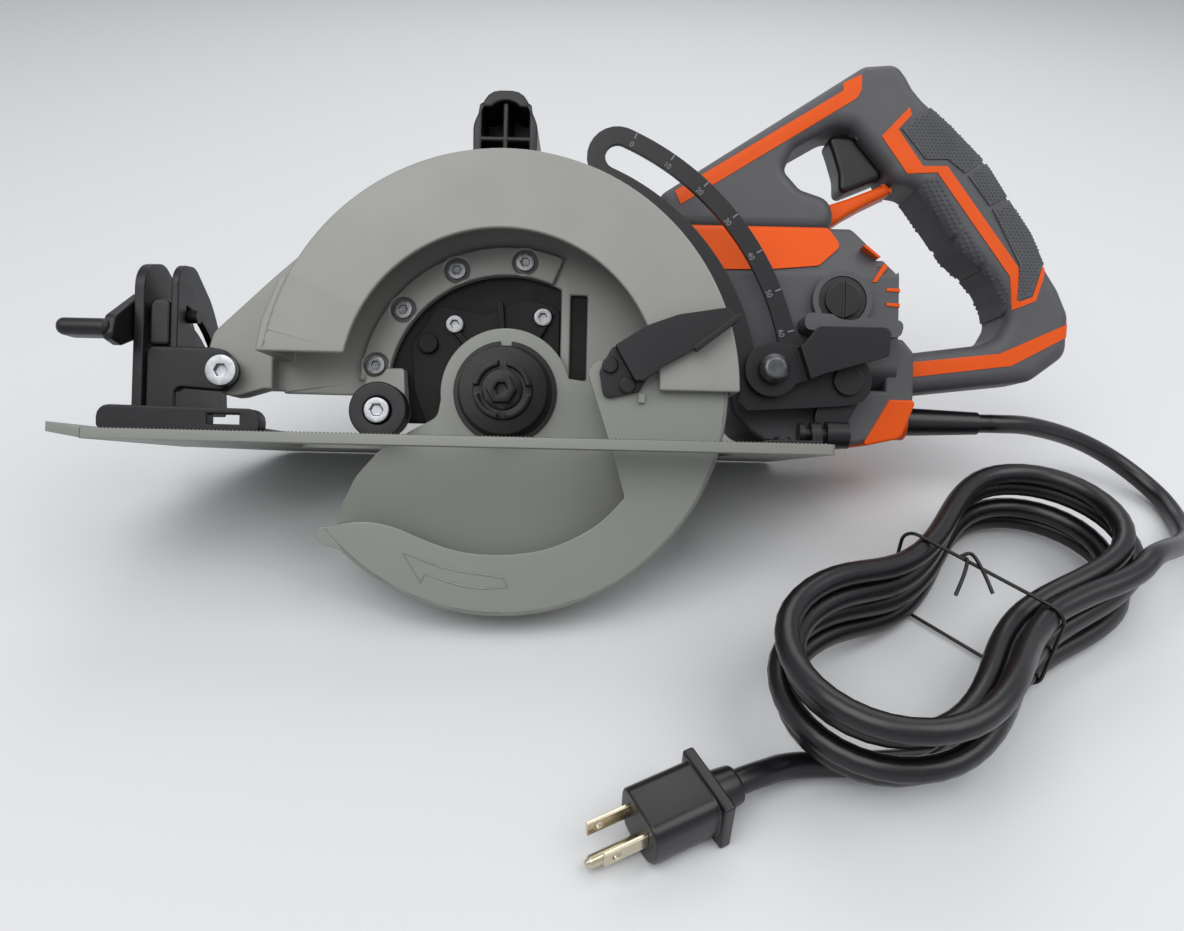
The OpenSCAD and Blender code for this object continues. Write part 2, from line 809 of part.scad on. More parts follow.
arm_line = concat(
    smooth([[arm_pin[0] - 4, arm_pin[1] - 12, 0], [arm_pin[0] + 12, arm_pin[1] - 10, 10],
            [arm_pin[0] + 10, arm_pin[1] + 12, 10], [142, 22, 0]]),
    arc(slot_r + 14.2, 12, 66.6, 32),
    around(slot_end, 14.2, 72, 241),
    arc(slot_r - 14.2, 66.6, 5, 32),
    [[107, -1], [111, -5]]
);
slot_line = concat(
    arc(slot_r + slot_w / 2, 6.5, 66.6, 32),
    around(slot_end, slot_w / 2, 72, 241),
    arc(slot_r - slot_w / 2, 66.6, 6.5, 32),
    around(clamp, slot_w / 2, 192, 361)
);
module depth_arm() {
    difference() {
        slab(arm_line, arm_y, arm_y + arm_t);
        slab(slot_line, arm_y - 1, arm_y + arm_t + 1);
        cyl_y(arm_pin, 5 + run, 10, 20);
    }
}
module clamp_bolt() {
    cyl_y(clamp, bolt_r, 3, 34);
    cyl_y(clamp, 7, 4, 8.6);
    translate([clamp[0], 4, clamp[1]])
        rotate([90, 0, 0]) cylinder(r1 = 7, r2 = 4.5, h = 2.4);
}
module depth_lever() {
    difference() {
        union() {
            cyl_y(clamp, 12.5, 8.8, 11.6);
            slab(smooth([[clamp[0], 4, 0], [141, 10, 0], [141, 24, 0], [clamp[0], 26, 0]]), 8.8, 11.6);
            slab([[137, 9], [142, 11], [137, 26], [132, 24]], 2, 11.6);
            slab(smooth([[133, 24, 0], [138, 10, 0], [172, 20, 3], [173, 33, 3], [140, 33, 3]]), 2, 4.6);
        }
        cyl_y(clamp, bolt_r + run, 0, 20);
        cyl_y(clamp, 7.3, 0, 8.8);
    }
}

// Shoe
module shoe() {
    difference() {
        union() {
            translate([0, 0, -sole])
                linear_extrude(shoe_t)
                    difference() {
                        polygon(smooth([[shoe_x0 + 14, -shoe_near, 0], [138.5, -shoe_near, 3], [138.5, shoe_far, 3],
                                        [shoe_x0 + 50, shoe_far, 20], [shoe_x0 + 14, shoe_far - 40, 12]]));
                        translate([-98, -23]) square([198, 51]);
                        translate([-case_r - 2.7, 20]) square([2 * case_r + 5.4, 78]);
                    }
            slab(
                [
                    [shoe_x0 + 20, 0.1 - sole], [shoe_x0 + 20, shoe_top - 0.1], [shoe_x0 + 14, shoe_top - 0.1],
                    [shoe_x0, shoe_top + 2.3], [shoe_x0, 2.4 - sole], [shoe_x0 + 14, 0.1 - sole]
                ],
                0.1 - shoe_near, shoe_far - 42
            );
        }
        for (p = shoe_screw_at)
            translate([p[0], p[1], -sole - 1]) cylinder(r = 2.2, h = 10);
    }
}
shoe_screw_at = [[-140, -28, 10], [-112, -28, 10], [-140, 40, 3], [122, -10, 2.4], [122, 10, 2.4]];
module bevel_quadrant() {
    difference() {
        union() {
            box([-164, -32, shoe_top], [-104, 52, shoe_top + 3]);
            box([-167, -6, shoe_top], [-158.3, 8, bevel_z + 4]);
            cyl_x([0, bevel_z], 5.5, -167.3, -158.3);
            translate([-163, 0, 0])
                rotate([90, 0, 90])
                    linear_extrude(4.6)
                        polygon(concat(
                            [[-6, shoe_top], [-6, 52], [0, 57]],
                            [for (a = [84 : -9 : 3]) [62 * cos(a), bevel_z + 73 * sin(a)]],
                            [[62, shoe_top]]
                        ));
            box([-164, -32, shoe_top], [-100, -24, shoe_top + 10]);
        }
        cyl_x([0, bevel_z], 3 + run, -180, -150);
        cyl_x(lever_axis, 3 + run, -170, -150);
        box([-158.3, -8, shoe_top - 1], [-138, 12, bevel_z + 4]);
        box([-136, -40, shoe_top + 2.5], [-118, -20, shoe_top + 7]);
        for (p = shoe_screw_at)
            translate([p[0], p[1], -sole - 1]) cylinder(r = 2.2, h = 30);
    }
}
module rear_ear() {
    difference() {
        union() {
            box([rear_x - 24, -16, shoe_top], [rear_x - 1, 16, shoe_top + 2.4]);
            box([rear_x - 3, -7, shoe_top], [rear_x + 1.5, 7, bevel_z]);
            cyl_x([0, bevel_z], 5.5, rear_x - 3, rear_x + 1.5);
        }
        cyl_x([0, bevel_z], 3 + run, rear_x - 10, rear_x + 5);
        box([rear_x - 9, -6, shoe_top - 1], [rear_x - 3, 6, bevel_z]);
        for (p = shoe_screw_at)
            translate([p[0], p[1], -sole - 1]) cylinder(r = 2.2, h = 30);
    }
}
module shoe_screws() {
    for (p = shoe_screw_at) {
        translate([p[0], p[1], -sole + 1]) cylinder(r = 2.2, h = shoe_t + p[2]);
        translate([p[0], p[1], shoe_top + p[2]]) cylinder(r1 = 4.2, r2 = 3, h = 1.6);
    }
}
module bevel_lever() {
    cyl_x(lever_axis, 8, -170, -163.3);
    cyl_x(lever_axis, 3, -164, -141);
    translate([-168, 0, 0])
        rotate([90, 0, 90])
            linear_extrude(4)
                polygon(smooth([[16, 36, 0], [4, 39, 0], [-22, 25, 4], [-24, 16, 4], [-14, 14, 3], [15, 26, 0]]));
    box([-188, -22, 18], [-166, -10, 22]);
}

// Cord on the floor; points are on the floor's axes before the stand shift
hank_at = [198, -70];
hank_turn = 44;
hank_s = 66;
hank_b = 42;
hank_waist = 12;
tie_t = 1.5;
hank_p = cord_d + 0.8;
hank_loops = 4;
function ease(t) = let (c = max(0, min(1, t))) c * c * (3 - 2 * c);
function hank_point(u) =
    let (
        k = floor(u),
        ramp = u - k,
        off = k % 2 == 0 ? ramp : 1 - ramp,
        b = hank_b - hank_p * off,
        run_l = 2 * hank_s,
        full = 2 * run_l + 2 * PI * b,
        d = ramp * full + (ramp < 0 ? full : 0),
        q0 = hank_s,
        q1 = q0 + PI * b,
        q2 = q1 + run_l,
        q3 = q2 + PI * b,
        x = d < q0 ? -d :
            d < q1 ? -hank_s - b * sin((d - q0) / b * 180 / PI) :
            d < q2 ? -hank_s + (d - q1) :
            d < q3 ? hank_s + b * sin((d - q2) / b * 180 / PI) : hank_s - (d - q3),
        side = d < q0 ? -b :
            d < q1 ? -b * cos((d - q0) / b * 180 / PI) :
            d < q2 ? b :
            d < q3 ? b * cos((d - q2) / b * 180 / PI) : -b,
        waist = abs(x) < hank_s ? hank_waist * pow(cos(90 * x / hank_s), 2) : 0,
        y = side - sign(side) * waist,
        layer = hank_loops - 1 - ease(2 * u - 1.5) - ease(2 * u - 3.5) - ease(2 * u - 5.5),
        lift = ease((-6 - x) / 50)
    )
    [x, y, cord_d / 2 + tie_t + 1 + hank_p * (layer + lift)];
function hank_place(p) = [
    hank_at[0] + p[0] * cos(hank_turn) - p[1] * sin(hank_turn) - stand[0],
    hank_at[1] + p[0] * sin(hank_turn) + p[1] * cos(hank_turn) - stand[1],
    p[2]
];
hank_turns = concat([0, 0.01], [for (i = [1 : 23 * hank_loops - 1]) i / 23], [hank_loops - 0.01, hank_loops - 0.0001]);
hank_path = [for (u = hank_turns) hank_place(hank_point(u))];
function bend(p, n) = [
    for (i = [0 : len(p) - 2], j = [0 : n - 1])
        let (
            t = j / n,
            a = p[max(0, i - 1)],
            b = p[i],
            c = p[i + 1],
            d = p[min(len(p) - 1, i + 2)]
        )
        0.5 * (2 * b + (c - a) * t + (2 * a - 5 * b + 4 * c - d) * t * t + (3 * b - a - 3 * c + d) * t * t * t),
    p[len(p) - 1]
];
function saw_to_floor(p) = [
    p[0] - stand[0],
    p[1] * cos(lean) + p[2] * sin(lean) - stand[1],
    -p[1] * sin(lean) + p[2] * cos(lean) + rest_h
];
function shift(p) = [p[0] - stand[0], p[1] - stand[1], p[2]];
hank_top = hank_path[0][2];
lead_at = [
    [266, 51, 39], [296, 58, 27], [322, 56, 14], [338, 36, 6], [334, 6, 8], [312, -24, 24], [284, -48, 38]
];
lead_path = bend(concat(
    [saw_to_floor([176, cord_exit[1], cord_exit[2]]), saw_to_floor([206, cord_exit[1], cord_exit[2]]),
     saw_to_floor([232, cord_exit[1], cord_exit[2]]), saw_to_floor([246, cord_exit[1], cord_exit[2]])],
    [for (p = lead_at) shift(p)],
    [for (p = [[60, -43.5], [45, -40.3], [30, -35.3], [10, -30.2]]) hank_place([p[0], p[1], hank_top])],
    [hank_path[0]]
), 4);
tail_at = [
    [-10, -30, 7.2], [-28, -33, 5.4], [-52, -32, 5], [-78, -14, 5], [-104, 7, 6.5], [-118, 12, 9.5], [-128, 14.9, 11], [-134, 16.6, 11]
];
tail_path = bend(concat(
    [hank_path[len(hank_path) - 1]],
    [for (p = tail_at) hank_place(p)]
), 4);
module tube(p, r, sides) {
    m = len(p);
    loft([
        for (i = [0 : m - 1])
            let (
                t = unit(p[min(i + 1, m - 1)] - p[max(i - 1, 0)]),
                s = unit(cross(t, [0, 0, 1])),
                w = cross(s, t)
            )
            [for (j = [0 : sides - 1]) p[i] + r * (cos(360 * j / sides) * s + sin(360 * j / sides) * w)]
    ]);
}
module cord_lead() {
    tube(lead_path, cord_d / 2 - 0.02, 10);
}
module cord_hank() {
    tube(hank_path, cord_d / 2, 6);
}
module cord_tail() {
    tube(tail_path, cord_d / 2 - 0.02, 10);
}
echo(least_gap = min([
    for (i = [0 : len(hank_path) - 1], j = [0 : len(hank_path) - 1])
        if (j - i > 8) norm(hank_path[i] - hank_path[j]) - cord_d
]));
function tie_line(d) = smooth([
    [d - 40.5, 0.5 + d, 3], [40.5 - d, 0.5 + d, 3], [40.5 - d, hank_top + 8 - d, 4], [d - 40.5, hank_top + 8 - d, 4]
]);
module cord_ties() {
    for (x = [-14, 20])
        translate(hank_place([x, 0, 0]))
            rotate([0, 0, hank_turn])
                rotate([90, 0, 90])
                    linear_extrude(2.4)
                        difference() {
                            polygon(tie_line(0));
                            polygon(tie_line(tie_t));
                        }
}
plug_at = hank_place([-130.2, 15.5, 0]);
module plug_frame() {
    translate([plug_at[0], plug_at[1], 11])
        rotate([0, 0, 208]) children();
}
module plug_body() {
    plug_frame()
        difference() {
            union() {
                rotate([0, 90, 0]) cylinder(r1 = 7, r2 = 8.5, h = 14);
                translate([10, -14, -11]) cube([4.5, 28, 22]);
                translate([14, 0, 0])
                    rotate([0, 90, 0])
                        linear_extrude(26)
                            polygon(smooth([[-10.5, -12, 5], [10.5, -12, 8], [10.5, 12, 8], [-10.5, 12, 5]]));
            }
            rotate([0, 90, 0]) translate([0, 0, -1]) cylinder(r = cord_d / 2 + 0.1, h = 6);
        }
}
module plug_prongs() {
    plug_frame() {
        for (s = [-6.35, 6.35])
            difference() {
                translate([40, s - 0.75, -1]) cube([16.5, 1.5, 6.4]);
                translate([52, s + 2, 2.2]) rotate([90, 0, 0]) cylinder(r = 1.6, h = 4);
            }
        translate([40, 0, -7]) rotate([0, 90, 0]) cylinder(r = 2.4, h = 18);
        translate([58, 0, -7]) rotate([0, 90, 0]) cylinder(r1 = 2.4, r2 = 1, h = 2.2);
    }
}

color("#8b8c88") set_down() upper_guard();
color("#1d1d1f") set_down() gear_case();
color("#1d1d1f") set_down() case_cover();
color("#202022") set_down() bearing_retainer();
color("#55565a") set_down() guard_screws();
color("#b0b2b4") set_down() retainer_screws();
color("#55565a") set_down() cover_screws();
color("#18181a") set_down() guard_bumper();
color("#b0b2b4") set_down() bumper_screw();
color("#8a8b8d") set_down() snap_ring();
color("#242426") set_down() top_handle();
color("#55565a") set_down() oil_plug();
color("#6a6a6a") set_down() motor_housing();
color("#f2641c") set_down() motor_panel();
color("#77787a") set_down() field_core();
color("#b08d4a") set_down() brush_holders();
color("#2c2c2e") set_down() brush_caps();
color("#626264") set_down() handle_near();
color("#626264") set_down() handle_far();
color("#f2641c") set_down() handle_trim();
color("#55565a") set_down() handle_screws();
color("#1b1b1c") set_down() switch_box();
color("#9a9b9d") set_down() trigger_pin();
color("#a9abad") set_down() spindle_bearings();
color("#a9abad") set_down() motor_bearings();
color("#3a3a3c") set_down() clamp_bolt();
color("#f2641c") set_down() cord_collar();
color("#1a1a1c") set_down() strain_relief();
color("#8f9194") set_down() arbor();
color("#b0803c") set_down() worm_wheel();
color("#2a2a2c") set_down() inner_flange();
color("#1c1c1e") set_down() outer_flange();
color("#2a2a2c") set_down() arbor_bolt();
color("#8f9194") set_down() armature_shaft();
color("#7c7e82") set_down() worm();
color("#5b5c5e") set_down() armature_core();
color("#b5753a") set_down() commutator();
color("#2a2a2c") set_down() fan();
color("#90918d") set_down() lower_guard();
color("#1e1e20") set_down() lift_lever();
color("#2e2e30") set_down() lever_rivets();
color("#1a1a1c") set_down() trigger();
color("#1a1a1c") set_down() lock_button();
color("#222224") set_down() front_bracket();
color("#b0b2b4") set_down() pivot_screw();
color("#222224") set_down() rear_hinge();
color("#2c2c2e") set_down() bevel_pins();
color("#2b2b2d") set_down() depth_arm();
color("#202022") set_down() depth_lever();
color("#85868a") set_down() shoe();
color("#1e1e20") set_down() bevel_quadrant();
color("#1e1e20") set_down() rear_ear();
color("#2c2c2e") set_down() shoe_screws();
color("#2a2a2c") set_down() bevel_lever();
color("#17171a") cord_lead();
color("#17171a") cord_hank();
color("#17171a") cord_tail();
color("#101012") cord_ties();
color("#1a1a1c") plug_body();
color("#c9c2ae") plug_prongs();
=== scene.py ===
import json
import math

import bmesh
import bpy
from mathutils import Euler, Matrix, Vector
from mathutils.bvhtree import BVHTree


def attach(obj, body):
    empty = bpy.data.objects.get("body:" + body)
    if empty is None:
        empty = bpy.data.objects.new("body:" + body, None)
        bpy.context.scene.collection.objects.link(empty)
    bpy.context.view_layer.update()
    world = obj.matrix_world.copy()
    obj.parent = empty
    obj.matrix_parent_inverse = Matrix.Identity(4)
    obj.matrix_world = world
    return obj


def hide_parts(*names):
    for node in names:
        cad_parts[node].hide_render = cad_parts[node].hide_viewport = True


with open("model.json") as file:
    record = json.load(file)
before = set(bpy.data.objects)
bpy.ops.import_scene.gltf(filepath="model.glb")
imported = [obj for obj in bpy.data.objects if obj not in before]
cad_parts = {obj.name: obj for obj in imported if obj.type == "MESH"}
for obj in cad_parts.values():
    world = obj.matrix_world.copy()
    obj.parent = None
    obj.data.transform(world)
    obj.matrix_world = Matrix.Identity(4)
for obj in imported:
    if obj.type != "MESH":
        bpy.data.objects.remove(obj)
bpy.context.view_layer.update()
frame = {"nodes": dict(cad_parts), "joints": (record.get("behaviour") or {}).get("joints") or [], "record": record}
nodes = frame["nodes"]
joints = {j["name"]: j for j in frame["joints"]}
mm = 0.001

# The saw leans back on the floor: its own axes come from the arbor's joint.
arborAt = Vector(joints["arbor_spin"]["pos_m"])
sawX = Vector((1, 0, 0))
sawY = Vector(joints["arbor_spin"]["axis"])
sawZ = sawX.cross(sawY)
sawTurn = Matrix((sawX, sawZ, -sawY)).transposed().to_4x4()  # drawing plane to the saw's side
motorY = 66  # mm, plane of the motor shaft, where the two handle halves meet


def sawPoint(x, y, z):
    return arborAt + (sawX * x + sawY * y + sawZ * z) * mm


def addObject(name, data):
    thing = bpy.data.objects.new(name, data)
    bpy.context.scene.collection.objects.link(thing)
    return thing


def toLinear(hexColour):
    parts = [int(hexColour[i:i + 2], 16) / 255 for i in (1, 3, 5)]
    return [c / 12.92 if c <= 0.04045 else ((c + 0.055) / 1.055) ** 2.4 for c in parts] + [1]


def addNode(tree, kind, inputs=(), **settings):
    node = tree.nodes.new(kind)
    for key, value in settings.items():
        setattr(node, key, value)
    for key, value in inputs:
        if isinstance(value, bpy.types.NodeSocket):
            tree.links.new(value, node.inputs[key])
        else:
            node.inputs[key].default_value = value
    return node


# Finishes: two close colours mixed by a slow cloud, a fine grain for the bump, and a roughness that varies a little.
finishes = {
    # powder-coated magnesium: satin warm grey with a faint orange peel
    "powderCoatGrey": {"colours": ("#878883", "#7e7f7a"), "cloudMm": 30, "rough": (0.40, 0.50), "grainMm": 0.9,
                       "bump": 0.05, "metallic": 0.15},
    # powder-coated magnesium on the swinging guard, a shade greener and smoother
    "powderCoatSage": {"colours": ("#7f817b", "#777973"), "cloudMm": 40, "rough": (0.34, 0.44), "grainMm": 0.9,
                       "bump": 0.035, "metallic": 0.2},
    # textured black paint on the gear case: broken, dry highlights
    "blackCrinkle": {"colours": ("#0d0d0f", "#070708"), "cloudMm": 12, "rough": (0.42, 0.6), "grainMm": 0.7,
                     "bump": 0.16, "specular": 0.2},
    # black oxide on stamped steel: soft grey sheen with rubbed patches
    "blackOxide": {"colours": ("#161619", "#0d0d10"), "cloudMm": 9, "rough": (0.3, 0.46), "grainMm": 0.5,
                   "bump": 0.05, "specular": 0.35},
    # turned steel, blackened and oiled: deep black with clear highlights
    "oiledBlack": {"colours": ("#0c0c0e", "#070708"), "cloudMm": 6, "rough": (0.16, 0.28), "grainMm": 0.5, "bump": 0.03,
                   "specular": 0.25},
    # dull zinc on the small screws of the guard and the bearing retainer
    "dullZinc": {"colours": ("#8a8b8d", "#77787b"), "cloudMm": 4, "rough": (0.3, 0.42), "grainMm": 0.4, "bump": 0.04,
                 "metallic": 0.9},
    # cast aluminium shoe, painted the guard's grey, rubbed along its length
    "shoeGrey": {"colours": ("#82837e", "#767872"), "cloudMm": 14, "rough": (0.34, 0.5), "grainMm": 0.5, "bump": 0.06,
                 "metallic": 0.35, "stretch": (0.12, 1, 1)},
    # bright zinc on screws: clean, slightly blue
    "brightZinc": {"colours": ("#a9abad", "#8f9194"), "cloudMm": 3, "rough": (0.24, 0.38), "grainMm": 0.4,
                   "bump": 0.03, "metallic": 1},
    # ground steel of shafts and bearings
    "groundSteel": {"colours": ("#a8aaad", "#96989b"), "cloudMm": 6, "rough": (0.25, 0.36), "grainMm": 0.4,
                    "bump": 0.03, "metallic": 1, "stretch": (1, 0.15, 1)},
    # gear bronze
    "gearBronze": {"colours": ("#b98a45", "#a67737"), "cloudMm": 8, "rough": (0.28, 0.4), "grainMm": 0.4, "bump": 0.03,
                   "metallic": 1},
    # commutator copper
    "barCopper": {"colours": ("#b8703f", "#a56035"), "cloudMm": 6, "rough": (0.3, 0.42), "grainMm": 0.4, "bump": 0.03,
                  "metallic": 1},
    # stacked core sheet, edge on
    "coreSheet": {"colours": ("#77797c", "#606266"), "cloudMm": 5, "rough": (0.4, 0.55), "grainMm": 0.6, "bump": 0.1,
                  "metallic": 0.8, "stretch": (8, 1, 1)},
    # glass-filled nylon housing: even mid grey with a spark-eroded grain
    "nylonGrey": {"colours": ("#48484b", "#424245"), "cloudMm": 22, "rough": (0.5, 0.62), "grainMm": 0.8, "bump": 0.07},
    # overmoulded grip rubber: the housing's grey, and duller
    "gripRubber": {"colours": ("#494a4e", "#424347"), "cloudMm": 15, "rough": (0.66, 0.8), "grainMm": 0.7,
                   "bump": 0.07},
    # moulded orange trim, satin
    "orangeTrim": {"colours": ("#d65006", "#cc4a04"), "cloudMm": 25, "rough": (0.38, 0.48), "grainMm": 0.9,
                   "bump": 0.03, "specular": 0.2},
    # moulded black nylon, satin with a fine grain
    "blackNylon": {"colours": ("#121215", "#0b0b0d"), "cloudMm": 12, "rough": (0.34, 0.48), "grainMm": 0.7,
                   "bump": 0.06, "specular": 0.4},
    # black PVC cord jacket: oily sheen, faint drag marks
    "pvcJacket": {"colours": ("#0e0e12", "#08080a"), "cloudMm": 18, "rough": (0.26, 0.4), "grainMm": 1.4,
                  "bump": 0.04},
    # nickel on the plug's prongs
    "warmNickel": {"colours": ("#d6cdb8", "#c4b99f"), "cloudMm": 5, "rough": (0.16, 0.28), "grainMm": 0.5,
                   "bump": 0.02, "metallic": 1},
    # steel nut whose black finish has worn through in patches
    "wornSteel": {"colours": ("#77787a", "#19191a"), "cloudMm": 2.5, "rough": (0.25, 0.5), "grainMm": 0.5, "bump": 0.08,
                  "metallic": 0.9},
    # pale print of a scale
    "padPrint": {"colours": ("#77787a", "#6a6b6d"), "cloudMm": 4, "rough": (0.5, 0.6), "grainMm": 0.5, "bump": 0.02},
}
bumpDepth = 0.2  # mm


def makeFinish(name):
    spec = finishes[name]
    material = bpy.data.materials.new(name)
    material.use_nodes = True
    tree = material.node_tree
    shader = tree.nodes["Principled BSDF"]
    place = addNode(tree, "ShaderNodeTexCoord").outputs["Object"]
    spread = addNode(tree, "ShaderNodeMapping", [("Vector", place), ("Scale", spec.get("stretch", (1, 1, 1)))])
    cloud = addNode(tree, "ShaderNodeTexNoise", [("Vector", spread.outputs[0]), ("Scale", 1000 / spec["cloudMm"]),
                                                 ("Detail", 4)])
    grain = addNode(tree, "ShaderNodeTexNoise", [("Vector", spread.outputs[0]), ("Scale", 1000 / spec["grainMm"]),
                                                 ("Detail", 2)])
    mix = addNode(tree, "ShaderNodeMix", [("Factor", cloud.outputs["Fac"])], data_type="RGBA")
    mix.inputs[6].default_value = toLinear(spec["colours"][0])
    mix.inputs[7].default_value = toLinear(spec["colours"][1])
    rough = addNode(tree, "ShaderNodeMapRange", [("Value", cloud.outputs["Fac"]), ("To Min", spec["rough"][0]),
                                                 ("To Max", spec["rough"][1])])
    bump = addNode(tree, "ShaderNodeBump", [("Height", grain.outputs["Fac"]), ("Strength", spec["bump"]),
                                            ("Distance", bumpDepth * mm)])
    tree.links.new(mix.outputs[2], shader.inputs["Base Color"])
    tree.links.new(rough.outputs[0], shader.inputs["Roughness"])
    tree.links.new(bump.outputs[0], shader.inputs["Normal"])
    shader.inputs["Metallic"].default_value = spec.get("metallic", 0)
    shader.inputs["Specular IOR Level"].default_value = spec.get("specular", 0.5)
    return material


finish = {name: makeFinish(name) for name in finishes}
print("finishes", len(finish))

# Stage: pale floor, soft light and the camera of the photograph
stageSpec = {
    "floor": "#c9cacb", "floorSize": 12, "floorDrop": 0.3, "floorRough": 0.7, "world": "#f4f6fa", "worldStrength": 0.62,
    "aim": (0, 0, 0.05),  # metres, as are each light's place and size; its power is in watts
    "lights": [((-0.5, -0.7, 1.5), 1.3, 16), ((0.9, -0.3, 1.3), 1.1, 9), ((0.1, 1.1, 1.2), 1.2, 7)],
}
floorMesh = bpy.data.meshes.new("studioFloor")
reach = stageSpec["floorSize"] / 2
corners = [(-reach, -reach, 0), (reach, -reach, 0), (reach, reach, 0), (-reach, reach, 0)]
floorMesh.from_pydata(corners, [], [(0, 1, 2, 3)])
floor = addObject("studioFloor", floorMesh)
floor.location.z = -stageSpec["floorDrop"] * mm
floorPaper = bpy.data.materials.new("matteBackdropPaper")
floorPaper.use_nodes = True
paper = floorPaper.node_tree.nodes["Principled BSDF"].inputs
paper["Base Color"].default_value = toLinear(stageSpec["floor"])
paper["Roughness"].default_value = stageSpec["floorRough"]
floorMesh.materials.append(floorPaper)
world = bpy.data.worlds.new("softRoom")
world.use_nodes = True
glow = world.node_tree.nodes["Background"].inputs
glow["Color"].default_value = toLinear(stageSpec["world"])
glow["Strength"].default_value = stageSpec["worldStrength"]
bpy.context.scene.world = world
for i, (spot, size, power) in enumerate(stageSpec["lights"]):
    lamp = bpy.data.lights.new(f"softbox{i}", "AREA")
    lamp.size = size
    lamp.energy = power
    lampObject = addObject(f"softbox{i}", lamp)
    lampObject.location = spot
    lampObject.rotation_euler = (Vector(stageSpec["aim"]) - Vector(spot)).to_track_quat("-Z", "Y").to_euler()
cameraSpec = {"at": (-6.2, -408.1, 295.4), "down": 35.2, "roll": 1.3, "focalPx": 930, "imageWide": 1184,
              "nearest": 10}
lens = bpy.data.cameras.new("photoCamera")
lens.lens = lens.sensor_width * cameraSpec["focalPx"] / cameraSpec["imageWide"]
lens.clip_start = cameraSpec["nearest"] * mm
camera = addObject("photoCamera", lens)
camera.matrix_world = (Matrix.Translation(Vector(cameraSpec["at"]) * mm)
                       @ Euler((math.radians(90 - cameraSpec["down"]), 0, 0)).to_matrix().to_4x4()
                       @ Matrix.Rotation(math.radians(cameraSpec["roll"]), 4, "Z"))
bpy.context.scene.camera = camera
bpy.context.scene.view_settings.view_transform = "Standard"
print("stage and camera")


def addPiece(name, mesh, body, material, replaced=()):
    piece = addObject(name, mesh)
    mesh.materials.clear()
    mesh.materials.append(finish[material])
    shadeByArea(mesh)
    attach(piece, body)
    if replaced:
        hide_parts(*replaced)
    return piece


def bakeMesh(source, turn=None):
    # the evaluated object as a plain mesh, with its place in the mesh
    bpy.context.view_layer.update()
    mesh = bpy.data.meshes.new_from_object(source.evaluated_get(bpy.context.evaluated_depsgraph_get()))
    if turn:
        mesh.transform(turn)
    data = source.data
    bpy.data.objects.remove(source)
    if isinstance(data, bpy.types.Curve):
        bpy.data.curves.remove(data)
    return mesh


def smoothCorners(points, steps=4):
    # each point is (x, z, corner radius)
    result = []
    for i, (x, z, r) in enumerate(points):
        b = Vector((x, z))
        if r == 0:
            result.append(b)
            continue
        u = (Vector(points[i - 1][:2]) - b).normalized()
        v = (Vector(points[(i + 1) % len(points)][:2]) - b).normalized()
        h = u.angle(v) / 2
        centre = b + (u + v).normalized() * r / math.sin(h)
        s, e = b + u * r / math.tan(h) - centre, b + v * r / math.tan(h) - centre
        start = math.atan2(s.y, s.x)
        sweep = (math.atan2(e.y, e.x) - start + 3 * math.pi) % (2 * math.pi) - math.pi
        for k in range(steps + 1):
            a = start + sweep * k / steps
            result.append(centre + Vector((math.cos(a), math.sin(a))) * r)
    return result


def insetLine(points, distance):
    # left of travel is inside
    result = []
    for i, p in enumerate(points):
        e = (p - points[i - 1]).normalized()
        f = (points[(i + 1) % len(points)] - p).normalized()
        g, h = Vector((-e.y, e.x)), Vector((-f.y, f.x))
        result.append(p + (g + h) * distance / max(0.3, 1 + g.dot(h)))
    return result


acrossTurn = {"Y": sawTurn, "X": Matrix((sawY, sawZ, sawX)).transposed().to_4x4(),
              "Z": Matrix((sawX, sawY, sawZ)).transposed().to_4x4()}


def addLine(curve, points, closed=False):
    line = curve.splines.new("POLY")
    line.points.add(len(points) - 1)
    for point, p in zip(line.points, points):
        point.co = (*p, 1)
    line.use_cyclic_u = closed


def roundedSlab(name, outline, low, high, rounding, steps=4, across="Y", holes=()):
    # a plate across one of the saw's axes with a rolled edge; the outline runs anticlockwise, holes clockwise
    # an outer corner's radius has to exceed the rounding, or the edge throws a spike
    curve = bpy.data.curves.new(name, "CURVE")
    curve.dimensions = "2D"
    curve.fill_mode = "BOTH"
    curve.extrude = ((high - low) / 2 - rounding) * mm
    curve.bevel_depth = rounding * mm
    curve.bevel_resolution = steps
    for ring in (outline, *holes):
        line = insetLine(ring, rounding) if rounding else ring
        addLine(curve, [(p.x * mm, p.y * mm, 0) for p in line], True)
    source = addObject(name, curve)
    middle = [(low + high) / 2 if axis == across else 0 for axis in "XYZ"]
    mesh = bakeMesh(source, Matrix.Translation(sawPoint(*middle)) @ acrossTurn[across])
    cleanMesh(mesh)
    return mesh


def tubeMesh(name, points, radius, closed=False):
    curve = bpy.data.curves.new(name, "CURVE")
    curve.dimensions = "3D"
    curve.bevel_depth = radius * mm
    curve.bevel_resolution = 3
    curve.use_fill_caps = True
    addLine(curve, points, closed)
    mesh = bakeMesh(addObject(name, curve))
    cleanMesh(mesh)
    return mesh


def cleanMesh(mesh, weld=0.002):
    work = bmesh.new()
    work.from_mesh(mesh)
    bmesh.ops.remove_doubles(work, verts=work.verts, dist=weld * mm)
    bmesh.ops.recalc_face_normals(work, faces=work.faces)
    work.to_mesh(mesh)
    work.free()


